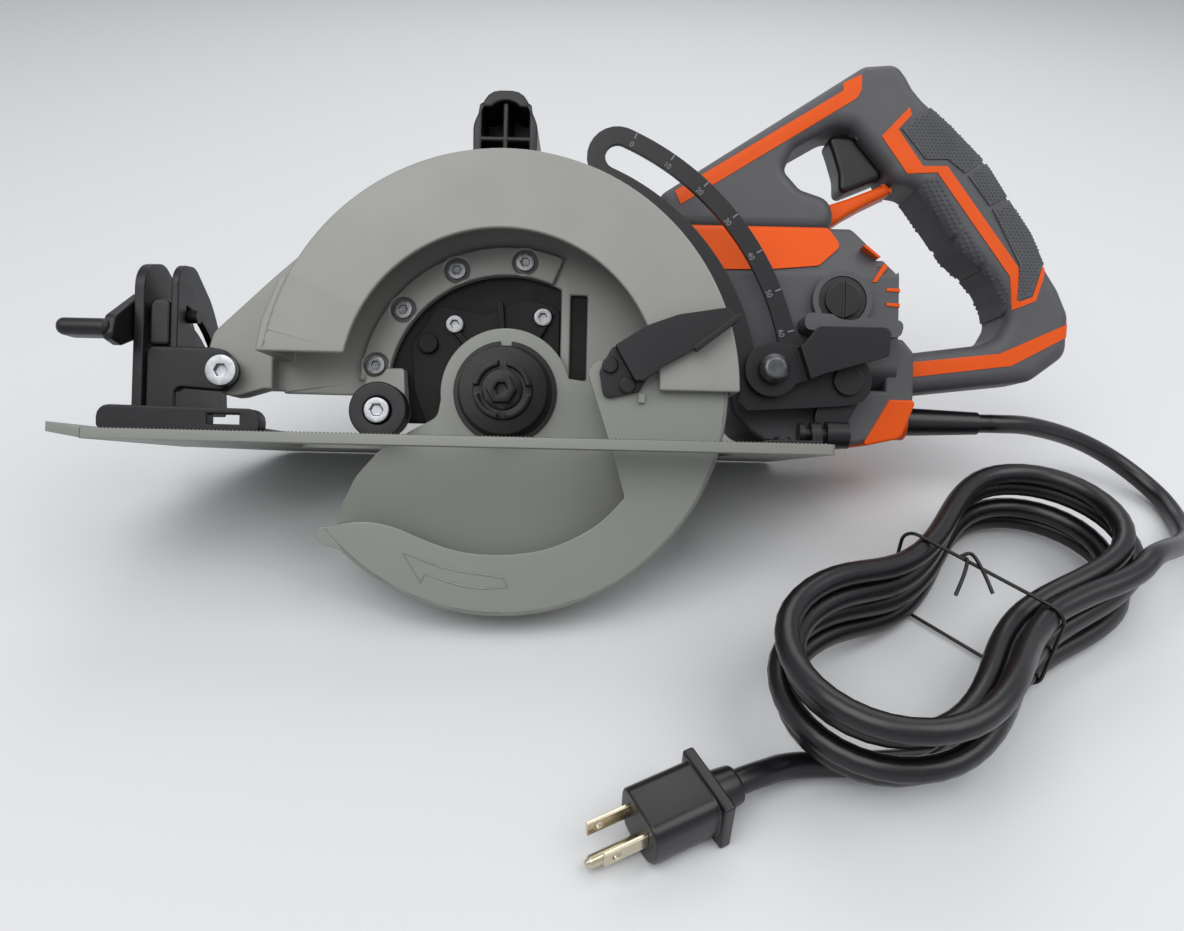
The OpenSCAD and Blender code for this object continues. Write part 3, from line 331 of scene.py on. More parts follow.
def shadeByArea(mesh, limit=40):
    # large flat faces keep their own normal, and the small faces of a rounded edge blend between them
    keep = math.cos(math.radians(limit))
    faces = [(p.normal.copy(), p.area) for p in mesh.polygons]
    around = [[] for v in mesh.vertices]
    for p in mesh.polygons:
        for v in p.vertices:
            around[v].append(p.index)
    normals = []
    for p in mesh.polygons:
        own = faces[p.index][0]
        p.use_smooth = True
        for v in p.vertices:
            total = own * 1e-12
            for i in around[v]:
                if faces[i][0].dot(own) > keep:
                    total = total + faces[i][0] * faces[i][1]
            normals.append(total.normalized())
    mesh.normals_split_custom_set(normals)


def joinMeshes(name, meshes):
    work = bmesh.new()
    for mesh in meshes:
        work.from_mesh(mesh)
        bpy.data.meshes.remove(mesh)
    mesh = bpy.data.meshes.new(name)
    work.to_mesh(mesh)
    work.free()
    return mesh


def farCopy(mesh):
    # the same form on the other side of the motor's plane
    copy = mesh.copy()
    origin = sawPoint(0, motorY, 0)
    for v in copy.vertices:
        v.co -= 2 * (v.co - origin).dot(sawY) * sawY
    copy.flip_normals()
    return copy


# The cord: its route repeats the solid's, in millimetres on the floor before the stand shift
cordSpec = {
    "diameter": 9.5, "stand": (46, 51.5), "hankAt": (198, -70), "hankTurn": 44, "halfRun": 66, "outerRadius": 42,
    "waist": 12, "pitch": 10.3, "loops": 4, "base": 7.25, "drops": (1.5, 3.5, 5.5), "liftFrom": -6, "liftOver": 50,
    "lead": [(266, 51, 39), (296, 58, 27), (322, 56, 14), (338, 36, 6), (334, 6, 8), (312, -24, 24), (284, -48, 38)],
    "merge": [(60, -43.5), (45, -40.3), (30, -35.3), (10, -30.2)],
    "tail": [(-10, -30, 7.2), (-28, -33, 5.4), (-52, -32, 5), (-78, -14, 5), (-104, 7, 6.5), (-118, 12, 9.5),
             (-128, 14.9, 11), (-134, 16.6, 11)],
    "exit": (62, -5), "straight": (232, 240, 246), "loopSteps": 72, "pointSteps": 10, "evenings": 3,
}


def floorPoint(x, y, z):
    return Vector((x - cordSpec["stand"][0], y - cordSpec["stand"][1], z)) * mm


def hankPlace(x, y, z):
    a = math.radians(cordSpec["hankTurn"])
    return floorPoint(cordSpec["hankAt"][0] + x * math.cos(a) - y * math.sin(a),
                      cordSpec["hankAt"][1] + x * math.sin(a) + y * math.cos(a), z)


def ease(t):
    t = max(0, min(1, t))
    return t * t * (3 - 2 * t)


def hankPoint(turn):
    # loops wind in and out by turns, narrow at the waist and step down a layer at a time
    loop = min(int(turn), cordSpec["loops"] - 1)
    ramp = turn - loop
    half, pitch = cordSpec["halfRun"], cordSpec["pitch"]
    radius = cordSpec["outerRadius"] - pitch * (ramp if loop % 2 == 0 else 1 - ramp)
    way = ramp * (4 * half + 2 * math.pi * radius)
    bend1, bend2 = half, 3 * half + math.pi * radius
    if way < bend1:
        x, side = -way, -radius
    elif way < bend1 + math.pi * radius:
        a = (way - bend1) / radius
        x, side = -half - radius * math.sin(a), -radius * math.cos(a)
    elif way < bend2:
        x, side = -half + way - bend1 - math.pi * radius, radius
    elif way < bend2 + math.pi * radius:
        a = (way - bend2) / radius
        x, side = half + radius * math.sin(a), radius * math.cos(a)
    else:
        x, side = half - (way - bend2 - math.pi * radius), -radius
    waist = cordSpec["waist"] * math.cos(math.pi / 2 * x / half) ** 2 if abs(x) < half else 0
    y = side - math.copysign(waist, side)
    layer = cordSpec["loops"] - 1 - sum(ease(2 * turn - s) for s in cordSpec["drops"])
    lift = ease((cordSpec["liftFrom"] - x) / cordSpec["liftOver"])
    return hankPlace(x, y, cordSpec["base"] + pitch * (layer + lift))


def throughPoints(points, steps):
    # a smooth line through the route's points
    result = []
    for i in range(len(points) - 1):
        a, b = points[max(0, i - 1)], points[i]
        c, d = points[i + 1], points[min(len(points) - 1, i + 2)]
        for k in range(steps):
            t = k / steps
            result.append(0.5 * (2 * b + (c - a) * t + (2 * a - 5 * b + 4 * c - d) * t ** 2
                                 + (3 * b - a - 3 * c + d) * t ** 3))
    return result + [points[-1]]


hankTop = cordSpec["base"] + cordSpec["pitch"] * (cordSpec["loops"] - 1)
leadPoints = ([sawPoint(x, *cordSpec["exit"]) for x in cordSpec["straight"]]
              + [floorPoint(*p) for p in cordSpec["lead"]]
              + [hankPlace(x, y, hankTop) for x, y in cordSpec["merge"]] + [hankPoint(0)])
tailPoints = [hankPoint(cordSpec["loops"])] + [hankPlace(*p) for p in cordSpec["tail"]]
hankTurns = [i / cordSpec["loopSteps"] for i in range(1, cordSpec["loopSteps"] * cordSpec["loops"])]
route = (throughPoints(leadPoints, cordSpec["pointSteps"]) + [hankPoint(t) for t in hankTurns]
         + throughPoints(tailPoints, cordSpec["pointSteps"]))
for sweep in range(cordSpec["evenings"]):  # evens out the last small kinks where the loops step down
    eased = [(a + 2 * b + c) / 4 for a, b, c in zip(route, route[1:], route[2:])]
    route = [route[0]] + eased + [route[-1]]
cordCurve = bpy.data.curves.new("cord", "CURVE")
cordCurve.dimensions = "3D"
cordCurve.bevel_depth = cordSpec["diameter"] / 2 * mm
cordCurve.bevel_resolution = 4
cordCurve.use_fill_caps = True
addLine(cordCurve, route)
cordCurve.splines[0].use_smooth = True
cordCurve.materials.append(finish["pvcJacket"])
cord = addObject("cord", cordCurve)
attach(cord, "saw_body")
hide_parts("cord_lead", "cord_hank", "cord_tail")

# Solids that keep their form, with their edges broken as a casting, stamping or moulding has them
dressing = {  # node: (finish, edge break in mm, segments)
    "upper_guard": ("powderCoatGrey", 0.9, 3),
    "gear_case": ("blackCrinkle", 0.6, 2), "case_cover": ("blackCrinkle", 0.6, 2),
    "bearing_retainer": ("blackCrinkle", 0.5, 2), "guard_screws": ("dullZinc", 0.35, 2),
    "retainer_screws": ("dullZinc", 0.35, 2), "cover_screws": ("blackOxide", 0.35, 2),
    "guard_bumper": ("blackNylon", 0.9, 3), "bumper_screw": ("brightZinc", 0.5, 3),
    "snap_ring": ("oiledBlack", 0.15, 1), "top_handle": ("blackNylon", 1.0, 3), "oil_plug": ("blackOxide", 0.4, 2),
    "motor_housing": ("nylonGrey", 0.8, 3), "motor_panel": ("orangeTrim", 0.25, 2),
    "brush_caps": ("blackNylon", 0.4, 2), "handle_screws": ("blackOxide", 0.3, 2),
    "clamp_bolt": ("wornSteel", 0.8, 3), "cord_collar": ("orangeTrim", 0.5, 2),
    "strain_relief": ("pvcJacket", 0.4, 2), "outer_flange": ("oiledBlack", 0.4, 2),
    "arbor_bolt": ("oiledBlack", 0.4, 2), "inner_flange": ("blackOxide", 0.3, 2),
    "lift_lever": ("blackOxide", 0.45, 2), "lever_rivets": ("blackOxide", 0.5, 2),
    "lock_button": ("blackNylon", 0.6, 2), "switch_box": ("blackNylon", 0.4, 2),
    "pivot_screw": ("brightZinc", 0.4, 2), "rear_hinge": ("blackOxide", 0.4, 2), "bevel_pins": ("blackOxide", 0.3, 2),
    "depth_arm": ("blackOxide", 0.35, 2), "depth_lever": ("blackOxide", 0.4, 2), "shoe": ("shoeGrey", 0.4, 2),
    "rear_ear": ("blackOxide", 0.4, 2), "shoe_screws": ("blackOxide", 0.3, 2),
    "plug_body": ("pvcJacket", 0.9, 3), "plug_prongs": ("warmNickel", 0.25, 2),
}
plain = {  # inner pieces, seen only through vents or when opened
    "arbor": "groundSteel", "worm_wheel": "gearBronze", "armature_shaft": "groundSteel", "worm": "groundSteel",
    "armature_core": "coreSheet", "commutator": "barCopper", "fan": "blackNylon", "field_core": "coreSheet",
    "brush_holders": "gearBronze", "trigger_pin": "groundSteel",
    "spindle_bearings": "groundSteel", "motor_bearings": "groundSteel",
}
bodyOf = {n: body for body, members in frame["record"]["behaviour"]["bodies"].items() for n in members}
edgeSpec = {"merge": 0.004, "sliver": 0.01, "sharpest": 34, "shares": (1, 0.6, 0.3)}


def dressNode(node, material, width, segments):
    solid = bmesh.new()
    solid.from_mesh(nodes[node].data)
    bmesh.ops.remove_doubles(solid, verts=solid.verts, dist=edgeSpec["merge"] * mm)
    bmesh.ops.dissolve_degenerate(solid, edges=solid.edges, dist=edgeSpec["sliver"] * mm)
    surface = BVHTree.FromBMesh(solid)
    work = solid
    sharp = math.radians(edgeSpec["sharpest"])
    for share in edgeSpec["shares"]:  # a narrower edge where the full one would throw a spike
        trial = solid.copy()
        edges = [e for e in trial.edges if len(e.link_faces) == 2 and e.calc_face_angle(0) > sharp]
        bmesh.ops.bevel(trial, geom=edges, offset=width * share * mm, segments=segments, profile=0.5, affect="EDGES",
                        clamp_overlap=False)
        if max(surface.find_nearest(v.co)[3] for v in trial.verts) < width * share * mm:
            work = trial
            break
    else:
        share = 0
    if share < 1:
        print("edge of", node, share)
    mesh = bpy.data.meshes.new(node + ".dressed")
    work.to_mesh(mesh)
    return addPiece(node + ".dressed", mesh, bodyOf[node], material, [node])


dressed = {node: dressNode(node, *spec) for node, spec in dressing.items()}
for node, material in plain.items():
    nodes[node].data.materials.clear()
    nodes[node].data.materials.append(finish[material])
fitSpec = {"switchFoot": 119, "headTop": -19.4}
for v in dressed["switch_box"].data.vertices:  # ends higher than its solid, inside the slimmer rolled handle
    v.co += sawZ * max(0, fitSpec["switchFoot"] * mm - (v.co - arborAt).dot(sawZ))
for v in dressed["shoe_screws"].data.vertices:  # the front heads end inside the bracket's foot
    spot = (v.co - arborAt) / mm
    if spot.dot(sawX) < 0 and spot.dot(sawZ) > fitSpec["headTop"]:
        v.co -= sawZ * (spot.dot(sawZ) - fitSpec["headTop"]) * mm
print("dressed", len(dressing), "plain", len(plain))

# Rear handle: one rolled form with the hand hole and trigger opening, retraced from the photograph
handleSpec = {
    "halfThick": 18, "roll": 7,
    "loop": [(188, 7.5, 0), (209.5, 10, 0), (258.5, 16, 12), (276, 29.5, 9), (277, 49.5, 12), (271.6, 62.4, 20),
             (265.5, 72, 20), (257.6, 90.4, 20), (248.4, 103.8, 20), (236.8, 122, 20), (231.6, 128.4, 20),
             (216.1, 144, 20), (202.3, 156.2, 20), (197.1, 162.3, 14), (193.6, 168.6, 8), (188.7, 174.9, 8),
             (172.5, 173.5, 8), (70, 105.5, 8), (70, 87.4, 7.5), (160, 87.4, 9), (156.5, 105.5, 9), (141.3, 110.4, 8),
             (133, 119.6, 4), (138, 130.9, 6), (157.6, 142.6, 12), (167, 141.3, 4), (184, 121, 5), (188, 113.8, 9.5),
             (198.5, 113.2, 10), (208.7, 99.8, 20), (222, 81.1, 20), (230.4, 73.6, 20), (238.8, 64.9, 20),
             (243.5, 55.6, 14), (245, 46, 8), (240.5, 37.6, 6),
             (232.5, 33.8, 6), (195.4, 28.7, 0), (188, 28, 0)],
    "tail": [(104, 7.7, 3), (106, -4, 4), (114, -13, 4), (126, -20.3, 5), (165, -18.5, 5), (186, -13.5, 5),
             (193, 4, 4), (193, 26, 4), (187.5, 32.6, 3), (179, 32.6, 3), (179, 7.7, 0)],
    "bar": [(150, 92, 2.8), (160, 94.5, 8), (166.5, 99.1, 20), (176.7, 105.1, 20), (189, 111.3, 2.8), (189, 117, 2.8),
            (185.1, 115.6, 20), (167.4, 108.3, 20), (154.9, 104, 8), (146, 101, 2.8)],
    "tailY": 31, "tailRoll": 2.2, "barHalf": 8, "barRoll": 2.5, "cutReach": 40,
}
bossSpec = {"at": (121, 13.8), "radius": 9, "sides": 32, "y": (18.4, 33), "roll": 0.8}
bossTurns = [a * 2 * math.pi / bossSpec["sides"] for a in range(bossSpec["sides"])]
bossLine = [Vector((bossSpec["at"][0] + bossSpec["radius"] * math.cos(a),
                    bossSpec["at"][1] + bossSpec["radius"] * math.sin(a))) for a in bossTurns]
handleParts = [
    roundedSlab("handleLoop", smoothCorners(handleSpec["loop"]), motorY - handleSpec["halfThick"],
                motorY + handleSpec["halfThick"], handleSpec["roll"], 5),
    roundedSlab("handleTail", smoothCorners(handleSpec["tail"]), handleSpec["tailY"], 2 * motorY - handleSpec["tailY"],
                handleSpec["tailRoll"], 3),
    roundedSlab("clampBoss", bossLine, *bossSpec["y"], bossSpec["roll"], 2),
]
addPiece("rearHandle", joinMeshes("rearHandle", handleParts), "saw_body", "nylonGrey",
         ["handle_near", "handle_far"])
barMesh = roundedSlab("triggerBar", smoothCorners(handleSpec["bar"]), motorY - handleSpec["barHalf"],
                      motorY + handleSpec["barHalf"], handleSpec["barRoll"])
addPiece("triggerBar", barMesh, "saw_body", "orangeTrim")
sleeveSpec = {"line": [(181, 3.4, 1.4), (168, -19.6, 1.4), (187, -15.2, 5), (194.4, 3.4, 2)], "y": (30.4, 101.6),
              "roll": 1.2}
sleeveMesh = roundedSlab("tailSleeve", smoothCorners(sleeveSpec["line"]), *sleeveSpec["y"], sleeveSpec["roll"], 3)
addPiece("tailSleeve", sleeveMesh, "saw_body", "orangeTrim")
print("handle")

# Tie: one thin wire drawn round the waist of the hank, its two ends left standing
tieSpec = {
    "x": 4, "reach": 36, "low": 1.6, "radius": 0.8, "corner": 7,
    "ends": [[(5, 8, 0), (2, 6, 1.5), (-6, 3, 1), (-14, 1, -4)], [(5, 10, 0), (8, 7, 1.2), (1, -2, 1), (-3, -9, -3)]],
}
tieTop = hankTop + cordSpec["diameter"] / 2 + tieSpec["radius"]
tieCorners = [(-tieSpec["reach"], tieSpec["low"]), (tieSpec["reach"], tieSpec["low"]), (tieSpec["reach"], tieTop),
              (-tieSpec["reach"], tieTop)]
tieLine = smoothCorners([(y, z, tieSpec["corner"]) for y, z in tieCorners], 6)
tieParts = [tubeMesh("tieLoop", [hankPlace(tieSpec["x"], p.x, p.y) for p in tieLine], tieSpec["radius"], True)]
for end in tieSpec["ends"]:
    endLine = throughPoints([hankPlace(x, y, tieTop + z) for x, y, z in end], 4)
    tieParts.append(tubeMesh("tieEnd", endLine, tieSpec["radius"]))
tie = addPiece("cordTie", joinMeshes("cordTie", tieParts), "saw_body", "blackNylon", ["cord_ties"])

# Trigger: a curved finger lever on its own pin
triggerSpec = {"line": [(162.2, 109.6, 2.8), (185.6, 119.6, 3), (168.5, 139.8, 6), (155.5, 139.8, 2.7),
                        (158.6, 131.5, 14), (162, 120.5, 14)], "y": (57, 75), "roll": 2.5}
triggerMesh = roundedSlab("triggerForm", smoothCorners(triggerSpec["line"]), *triggerSpec["y"], triggerSpec["roll"])
addPiece("triggerForm", triggerMesh, "trigger", "blackNylon", ["trigger"])

# Front bracket, bevel quadrant and bevel lever: folded plate with rounded fins and a thick paddle
shoeTop, bevelZ = -21.8, -16
finArc = [(math.cos(math.radians(a)), math.sin(math.radians(a))) for a in range(6, 60, 6)]
slotArc = [(52.4, a) for a in range(84, 20, -6)] + [(45.6, a) for a in range(24, 86, 6)]
slotLine = [Vector((r * math.cos(math.radians(a)), bevelZ + r * math.sin(math.radians(a)))) for r, a in slotArc]
frontSpec = {
    "plate": [(-158, -15, 1.4), (-145, -15, 1.4), (-145, -1.5, 3), (-124, -3, 4), (-114.3, 6, 8), (-124, 15.6, 4),
              (-130, 16.5, 0), (-158, 16.5, 3)],
    "fin": [(-3.5, -14.5, 0.8), (54, -11, 0.8)] + [(60 * c - 4, bevelZ + 74 * s, 0) for c, s in finArc]
    + [(14, 55.5, 9), (-3.5, 53, 10)],
    "block": [(-157.6, 17, 1.6), (-148.4, 17, 1.6), (-148.4, 38, 3.5), (-157.6, 38, 3.5)],
    "plateY": (-4, 1.7), "plateRoll": 1.1, "finX": (-148, -144.7), "finRoll": 0.7, "barrelX": (-157.9, -140),
    "barrelRadius": 5, "blockY": (-3, 6.4), "blockRoll": 1.5,
}
frontParts = [
    roundedSlab("bracketPlate", smoothCorners(frontSpec["plate"]), *frontSpec["plateY"], frontSpec["plateRoll"], 3),
    roundedSlab("bracketFin", smoothCorners(frontSpec["fin"], 6), *frontSpec["finX"], frontSpec["finRoll"], 2, "X",
                [slotLine]),
    tubeMesh("bracketBarrel", [sawPoint(x, 0, bevelZ) for x in frontSpec["barrelX"]], frontSpec["barrelRadius"]),
]
addPiece("frontBracket", joinMeshes("frontBracket", frontParts), "depth_carriage", "blackOxide",
         ["front_bracket"])
blockMesh = roundedSlab("bracketBlock", smoothCorners(frontSpec["block"]), *frontSpec["blockY"],
                        frontSpec["blockRoll"], 3)
addPiece("bracketBlock", blockMesh, "depth_carriage", "blackNylon")
quadrantSpec = {
    "rail": [(-164.5, shoeTop, 2.4), (-97, shoeTop, 2.4), (-97, -12.3, 5), (-164.5, -11.6, 5)],
    "railHole": [(-119, -14.6, 0), (-105.5, -14.6, 0), (-105.5, -19, 0), (-119, -19, 0)],
    "base": [(-164, -31, 2), (-104, -31, 2), (-104, 52, 6), (-164, 52, 6)],
    "post": [(-6, shoeTop, 1), (8, shoeTop, 1), (8, -12, 3), (-6, -12, 3)],
    "fin": [(-6, shoeTop, 0.8), (62, shoeTop, 0.8)] + [(62 * c, bevelZ + 73 * s, 0) for c, s in finArc]
    + [(13, 56.5, 10), (-6, 52, 12)],
    "railY": (-32, -24), "railRoll": 0.6, "baseZ": (shoeTop, shoeTop + 3), "baseRoll": 0.8,
    "postX": (-167, -158.4), "postRoll": 0.8, "finX": (-163, -158.4), "finRoll": 0.7,
}
quadrantParts = [
    roundedSlab("quadrantRail", smoothCorners(quadrantSpec["rail"]), *quadrantSpec["railY"],
                quadrantSpec["railRoll"], 2, holes=[smoothCorners(quadrantSpec["railHole"])]),
    roundedSlab("quadrantBase", smoothCorners(quadrantSpec["base"]), *quadrantSpec["baseZ"],
                quadrantSpec["baseRoll"], 2, "Z"),
    roundedSlab("quadrantPost", smoothCorners(quadrantSpec["post"]), *quadrantSpec["postX"],
                quadrantSpec["postRoll"], 2, "X"),
    roundedSlab("quadrantFin", smoothCorners(quadrantSpec["fin"], 6), *quadrantSpec["finX"],
                quadrantSpec["finRoll"], 2, "X"),
]
addPiece("bevelQuadrant", joinMeshes("bevelQuadrant", quadrantParts), "shoe_set", "blackOxide",
         ["bevel_quadrant"])
leverSpec = {
    "axis": (10.2, 31.9), "arm": [(18, 37, 4), (4, 41, 4), (-20, 27, 4), (-23, 17, 3), (-13, 15, 3), (15, 25, 4)],
    "paddle": [(-188, 18, 3.4), (-165, 18, 3.4), (-165, 25.4, 3.4), (-188, 25.4, 3.4)],
    "armX": (-168.5, -163.6), "armRoll": 1.2, "paddleY": (-24, -9), "paddleRoll": 3.3,
    "hubX": (-170, -163.4), "hubRadius": 8, "pinX": (-164, -141), "pinRadius": 3,
}
leverParts = [
    roundedSlab("leverArm", smoothCorners(leverSpec["arm"]), *leverSpec["armX"], leverSpec["armRoll"], 3, "X"),
    roundedSlab("leverPaddle", smoothCorners(leverSpec["paddle"], 6), *leverSpec["paddleY"],
                leverSpec["paddleRoll"], 4),
    tubeMesh("leverHub", [sawPoint(x, *leverSpec["axis"]) for x in leverSpec["hubX"]], leverSpec["hubRadius"]),
    tubeMesh("leverPin", [sawPoint(x, *leverSpec["axis"]) for x in leverSpec["pinX"]], leverSpec["pinRadius"]),
]
addPiece("bevelLever", joinMeshes("bevelLever", leverParts), "bevel_lever", "blackNylon",
         ["bevel_lever"])
print("front bracket")

# Rear of the motor: orange slits between the louvres
slitSpec = {
    "lines": [[(166.5, 76), (173.5, 70.6), (175, 71), (168.2, 76.6)],
              [(171, 58.8), (173.2, 58.8), (178.6, 66.4), (176.6, 67.8)],
              [(178, 54.6), (184.4, 54.2), (184.4, 56), (178, 56.2)],
              [(178, 47.6), (184.4, 47), (184.4, 48.8), (178, 49.2)]],
    "y": (27.4, 34), "roll": 0.2,
}
slits = [roundedSlab("slit", [Vector(p) for p in line], *slitSpec["y"], slitSpec["roll"], 1)
         for line in slitSpec["lines"]]
slits += [farCopy(m) for m in slits]
addPiece("ventSlits", joinMeshes("ventSlits", slits), "saw_body", "orangeTrim")


# Inlays and grip pads: each is the handle's own form, grown by its proud height and cut to its outline
def coverHandle(name, outline, proud):
    grown = insetLine(smoothCorners(handleSpec["loop"]), -proud)
    reach, cutReach = handleSpec["halfThick"] + proud, handleSpec["cutReach"]
    shell = addObject(name, roundedSlab(name, grown, motorY - reach, motorY + reach, handleSpec["roll"] + proud, 5))
    cutter = addObject("cutter", roundedSlab("cutter", outline, motorY - cutReach, motorY + cutReach, 0, 0))
    cut = shell.modifiers.new("cut", "BOOLEAN")
    cut.operation = "INTERSECT"
    cut.solver = "EXACT"
    cut.object = cutter
    mesh = bakeMesh(shell)
    bpy.data.objects.remove(cutter)
    cleanMesh(mesh)
    return mesh


inlaySpec = {
    "arm": [(81, 100), (167.9, 155.2), (170.1, 159.2), (170.3, 167.6), (161.4, 163.3), (160.9, 158.7), (78, 107)],
    "bar": [(192.7, 15.7), (246.9, 23), (280, 41), (280, 47), (241.2, 29), (195.8, 23.5)],
    "zig": [(194.2, 151.3), (180.5, 136.4), (193.7, 118), (208.7, 118.8), (245.6, 67.5), (247.2, 51), (258.6, 55.6),
            (264.2, 73), (261.8, 73), (256.9, 57.6), (250.4, 55), (249.8, 72.1), (213.6, 122.1), (201.4, 121.8),
            (188.8, 140), (195.4, 147.4)],
    "proud": 0.4,
}
inlays = [coverHandle("inlay", [Vector(p) for p in inlaySpec[key]], inlaySpec["proud"])
          for key in ("arm", "bar", "zig")]
addPiece("handleInlays", joinMeshes("handleInlays", inlays), "saw_body", "orangeTrim", ["handle_trim"])

padSpec = {
    "front": [  # three finger lengths, dimpled
        [(197, 107), (204, 76), (223.3, 92), (209.3, 116), (203, 115.2)],
        [(205.6, 74.6), (218, 62), (234.2, 76), (224.6, 90.4)],
        [(219.6, 60.6), (238, 44), (244, 49), (245.4, 52.5), (244.6, 62), (236, 73.6)],
    ],
    "rear": [  # three lengths under the heel of the hand, finely studded
        [(190.4, 140.4), (202.6, 125.4), (213.6, 125.6), (222.4, 118.8), (240, 132), (214, 158), (197.4, 146.6)],
        [(224, 117.4), (235, 102.6), (254, 114), (241.4, 130.4)],
        [(236.2, 101), (250.2, 73.6), (249.4, 55.6), (256.2, 58.2), (261.2, 72.6), (275, 84), (255, 112.4)],
    ],
    "proud": 0.8, "frontStud": (2.6, 0.95, 0.5), "rearStud": (1.9, 0.6, 0.35),  # pitch, radius, height
    "sides": 6, "taper": 0.7, "rowShare": 0.866, "keepShare": 0.94, "leastFacing": 0.45, "castFrom": -50,
}
pads = [coverHandle("pad", [Vector(p) for p in line], padSpec["proud"])
        for line in padSpec["front"] + padSpec["rear"]]
padForm = joinMeshes("padSurface", [m.copy() for m in pads])
padSurface = BVHTree.FromPolygons([v.co.copy() for v in padForm.vertices],
                                  [tuple(p.vertices) for p in padForm.polygons])
bpy.data.meshes.remove(padForm)
addPiece("gripPads", joinMeshes("gripPads", pads), "saw_body", "gripRubber")


def isInside(p, outline):
    hit = False
    for i, b in enumerate(outline):
        a = outline[i - 1]
        if (a.y > p.y) != (b.y > p.y) and p.x < (b.x - a.x) * (p.y - a.y) / (b.y - a.y) + a.x:
            hit = not hit
    return hit


def repeatTree():
    # sets a small many-sided stud on every point, turned to one direction
    tree = bpy.data.node_groups.new("studOnPoints", "GeometryNodeTree")
    tree.interface.new_socket("Geometry", in_out="INPUT", socket_type="NodeSocketGeometry")
    for label, kind in (("Sides", "NodeSocketInt"), ("Foot Radius", "NodeSocketFloat"),
                        ("Top Radius", "NodeSocketFloat"), ("Height", "NodeSocketFloat"),
                        ("Turn", "NodeSocketRotation"), ("Stretch", "NodeSocketVector"),
                        ("Finish", "NodeSocketMaterial")):
        tree.interface.new_socket(label, in_out="INPUT", socket_type=kind)
    tree.interface.new_socket("Geometry", in_out="OUTPUT", socket_type="NodeSocketGeometry")
    given = addNode(tree, "NodeGroupInput")
    stud = addNode(tree, "GeometryNodeMeshCone", [("Vertices", given.outputs["Sides"]),
                                                  ("Radius Bottom", given.outputs["Foot Radius"]),
                                                  ("Radius Top", given.outputs["Top Radius"]),
                                                  ("Depth", given.outputs["Height"])])
    facing = addNode(tree, "GeometryNodeInputNamedAttribute", [("Name", "facing")], data_type="FLOAT_VECTOR")
    lean = addNode(tree, "FunctionNodeAlignRotationToVector", [("Rotation", given.outputs["Turn"]),
                                                               ("Vector", facing.outputs["Attribute"])], axis="Z")
    spots = addNode(tree, "GeometryNodeInstanceOnPoints", [("Points", given.outputs["Geometry"]),
                                                           ("Instance", stud.outputs["Mesh"]),
                                                           ("Rotation", lean.outputs["Rotation"]),
                                                           ("Scale", given.outputs["Stretch"])])
    real = addNode(tree, "GeometryNodeRealizeInstances", [("Geometry", spots.outputs[0])])
    coat = addNode(tree, "GeometryNodeSetMaterial", [("Geometry", real.outputs[0]),
                                                     ("Material", given.outputs["Finish"])])
    addNode(tree, "NodeGroupOutput", [("Geometry", coat.outputs[0])])
    return tree


studTree = repeatTree()


def setStuds(name, spots, sides, foot, top, height, turn, stretch, material):
    mesh = bpy.data.meshes.new(name)
    mesh.from_pydata([tuple(place) for place, way in spots], [], [])
    facing = mesh.attributes.new("facing", "FLOAT_VECTOR", "POINT")
    facing.data.foreach_set("vector", [c for place, way in spots for c in way])
    source = addObject(name, mesh)
    repeat = source.modifiers.new("studs", "NODES")
    repeat.node_group = studTree
    values = {"Sides": sides, "Foot Radius": foot * mm, "Top Radius": top * mm, "Height": height * mm, "Turn": turn,
              "Stretch": stretch, "Finish": finish[material]}
    for item in studTree.interface.items_tree:
        if item.item_type == "SOCKET" and item.in_out == "INPUT" and item.name in values:
            repeat[item.identifier] = values[item.name]
    return bakeMesh(source)


toCamera = acrossTurn["Y"].to_euler()  # a stud's height points out of the near side


def padSpots(outlines, pitch):
    spots = []
    for outline in outlines:
        line = [Vector(p) for p in outline]
        centre = sum(line, Vector((0, 0))) / len(line)
        keep = [centre + (p - centre) * padSpec["keepShare"] for p in line]
        row, z = 0, min(p.y for p in line)
        while z < max(p.y for p in line):
            x = min(p.x for p in line) + (pitch / 2 if row % 2 else 0)
            while x < max(p.x for p in line):
                place, way = padSurface.ray_cast(sawPoint(x, padSpec["castFrom"], z), sawY)[:2]
                if place and isInside(Vector((x, z)), keep) and way.dot(sawY) < -padSpec["leastFacing"]:
                    spots.append((place, way))
                x += pitch
            row, z = row + 1, z + pitch * padSpec["rowShare"]
    return spots


studs = []
for key in ("front", "rear"):
    pitch, radius, height = padSpec[key + "Stud"]
    studs.append(setStuds("studs", padSpots(padSpec[key], pitch), padSpec["sides"], radius, radius * padSpec["taper"],
                          height, toCamera, (1, 1, 1), "gripRubber"))
studs += [farCopy(m) for m in studs]
addPiece("gripStuds", joinMeshes("gripStuds", studs), "saw_body", "gripRubber")
print("grips")

# Shoe: fine notches along the near edge, to sight the cut
shoeSpec = {"x0": -165, "x1": 136, "pitch": 1.6, "edgeY": -37.2, "sink": 0.2, "sides": 4, "foot": 0.7, "top": 0.45,
            "height": 0.6, "stretch": (0.8, 1.2, 1)}
tickCount = int((shoeSpec["x1"] - shoeSpec["x0"]) / shoeSpec["pitch"])
tickSpots = [(sawPoint(shoeSpec["x0"] + i * shoeSpec["pitch"], shoeSpec["edgeY"], shoeTop - shoeSpec["sink"]), sawZ)
             for i in range(tickCount)]
toTop = acrossTurn["Z"].to_euler()  # a tick's height points out of the shoe's upper face
ticks = setStuds("shoeTicks", tickSpots, shoeSpec["sides"], shoeSpec["foot"], shoeSpec["top"], shoeSpec["height"],
                 toTop, shoeSpec["stretch"], "shoeGrey")
addPiece("shoeTicks", ticks, "shoe_set", "shoeGrey")

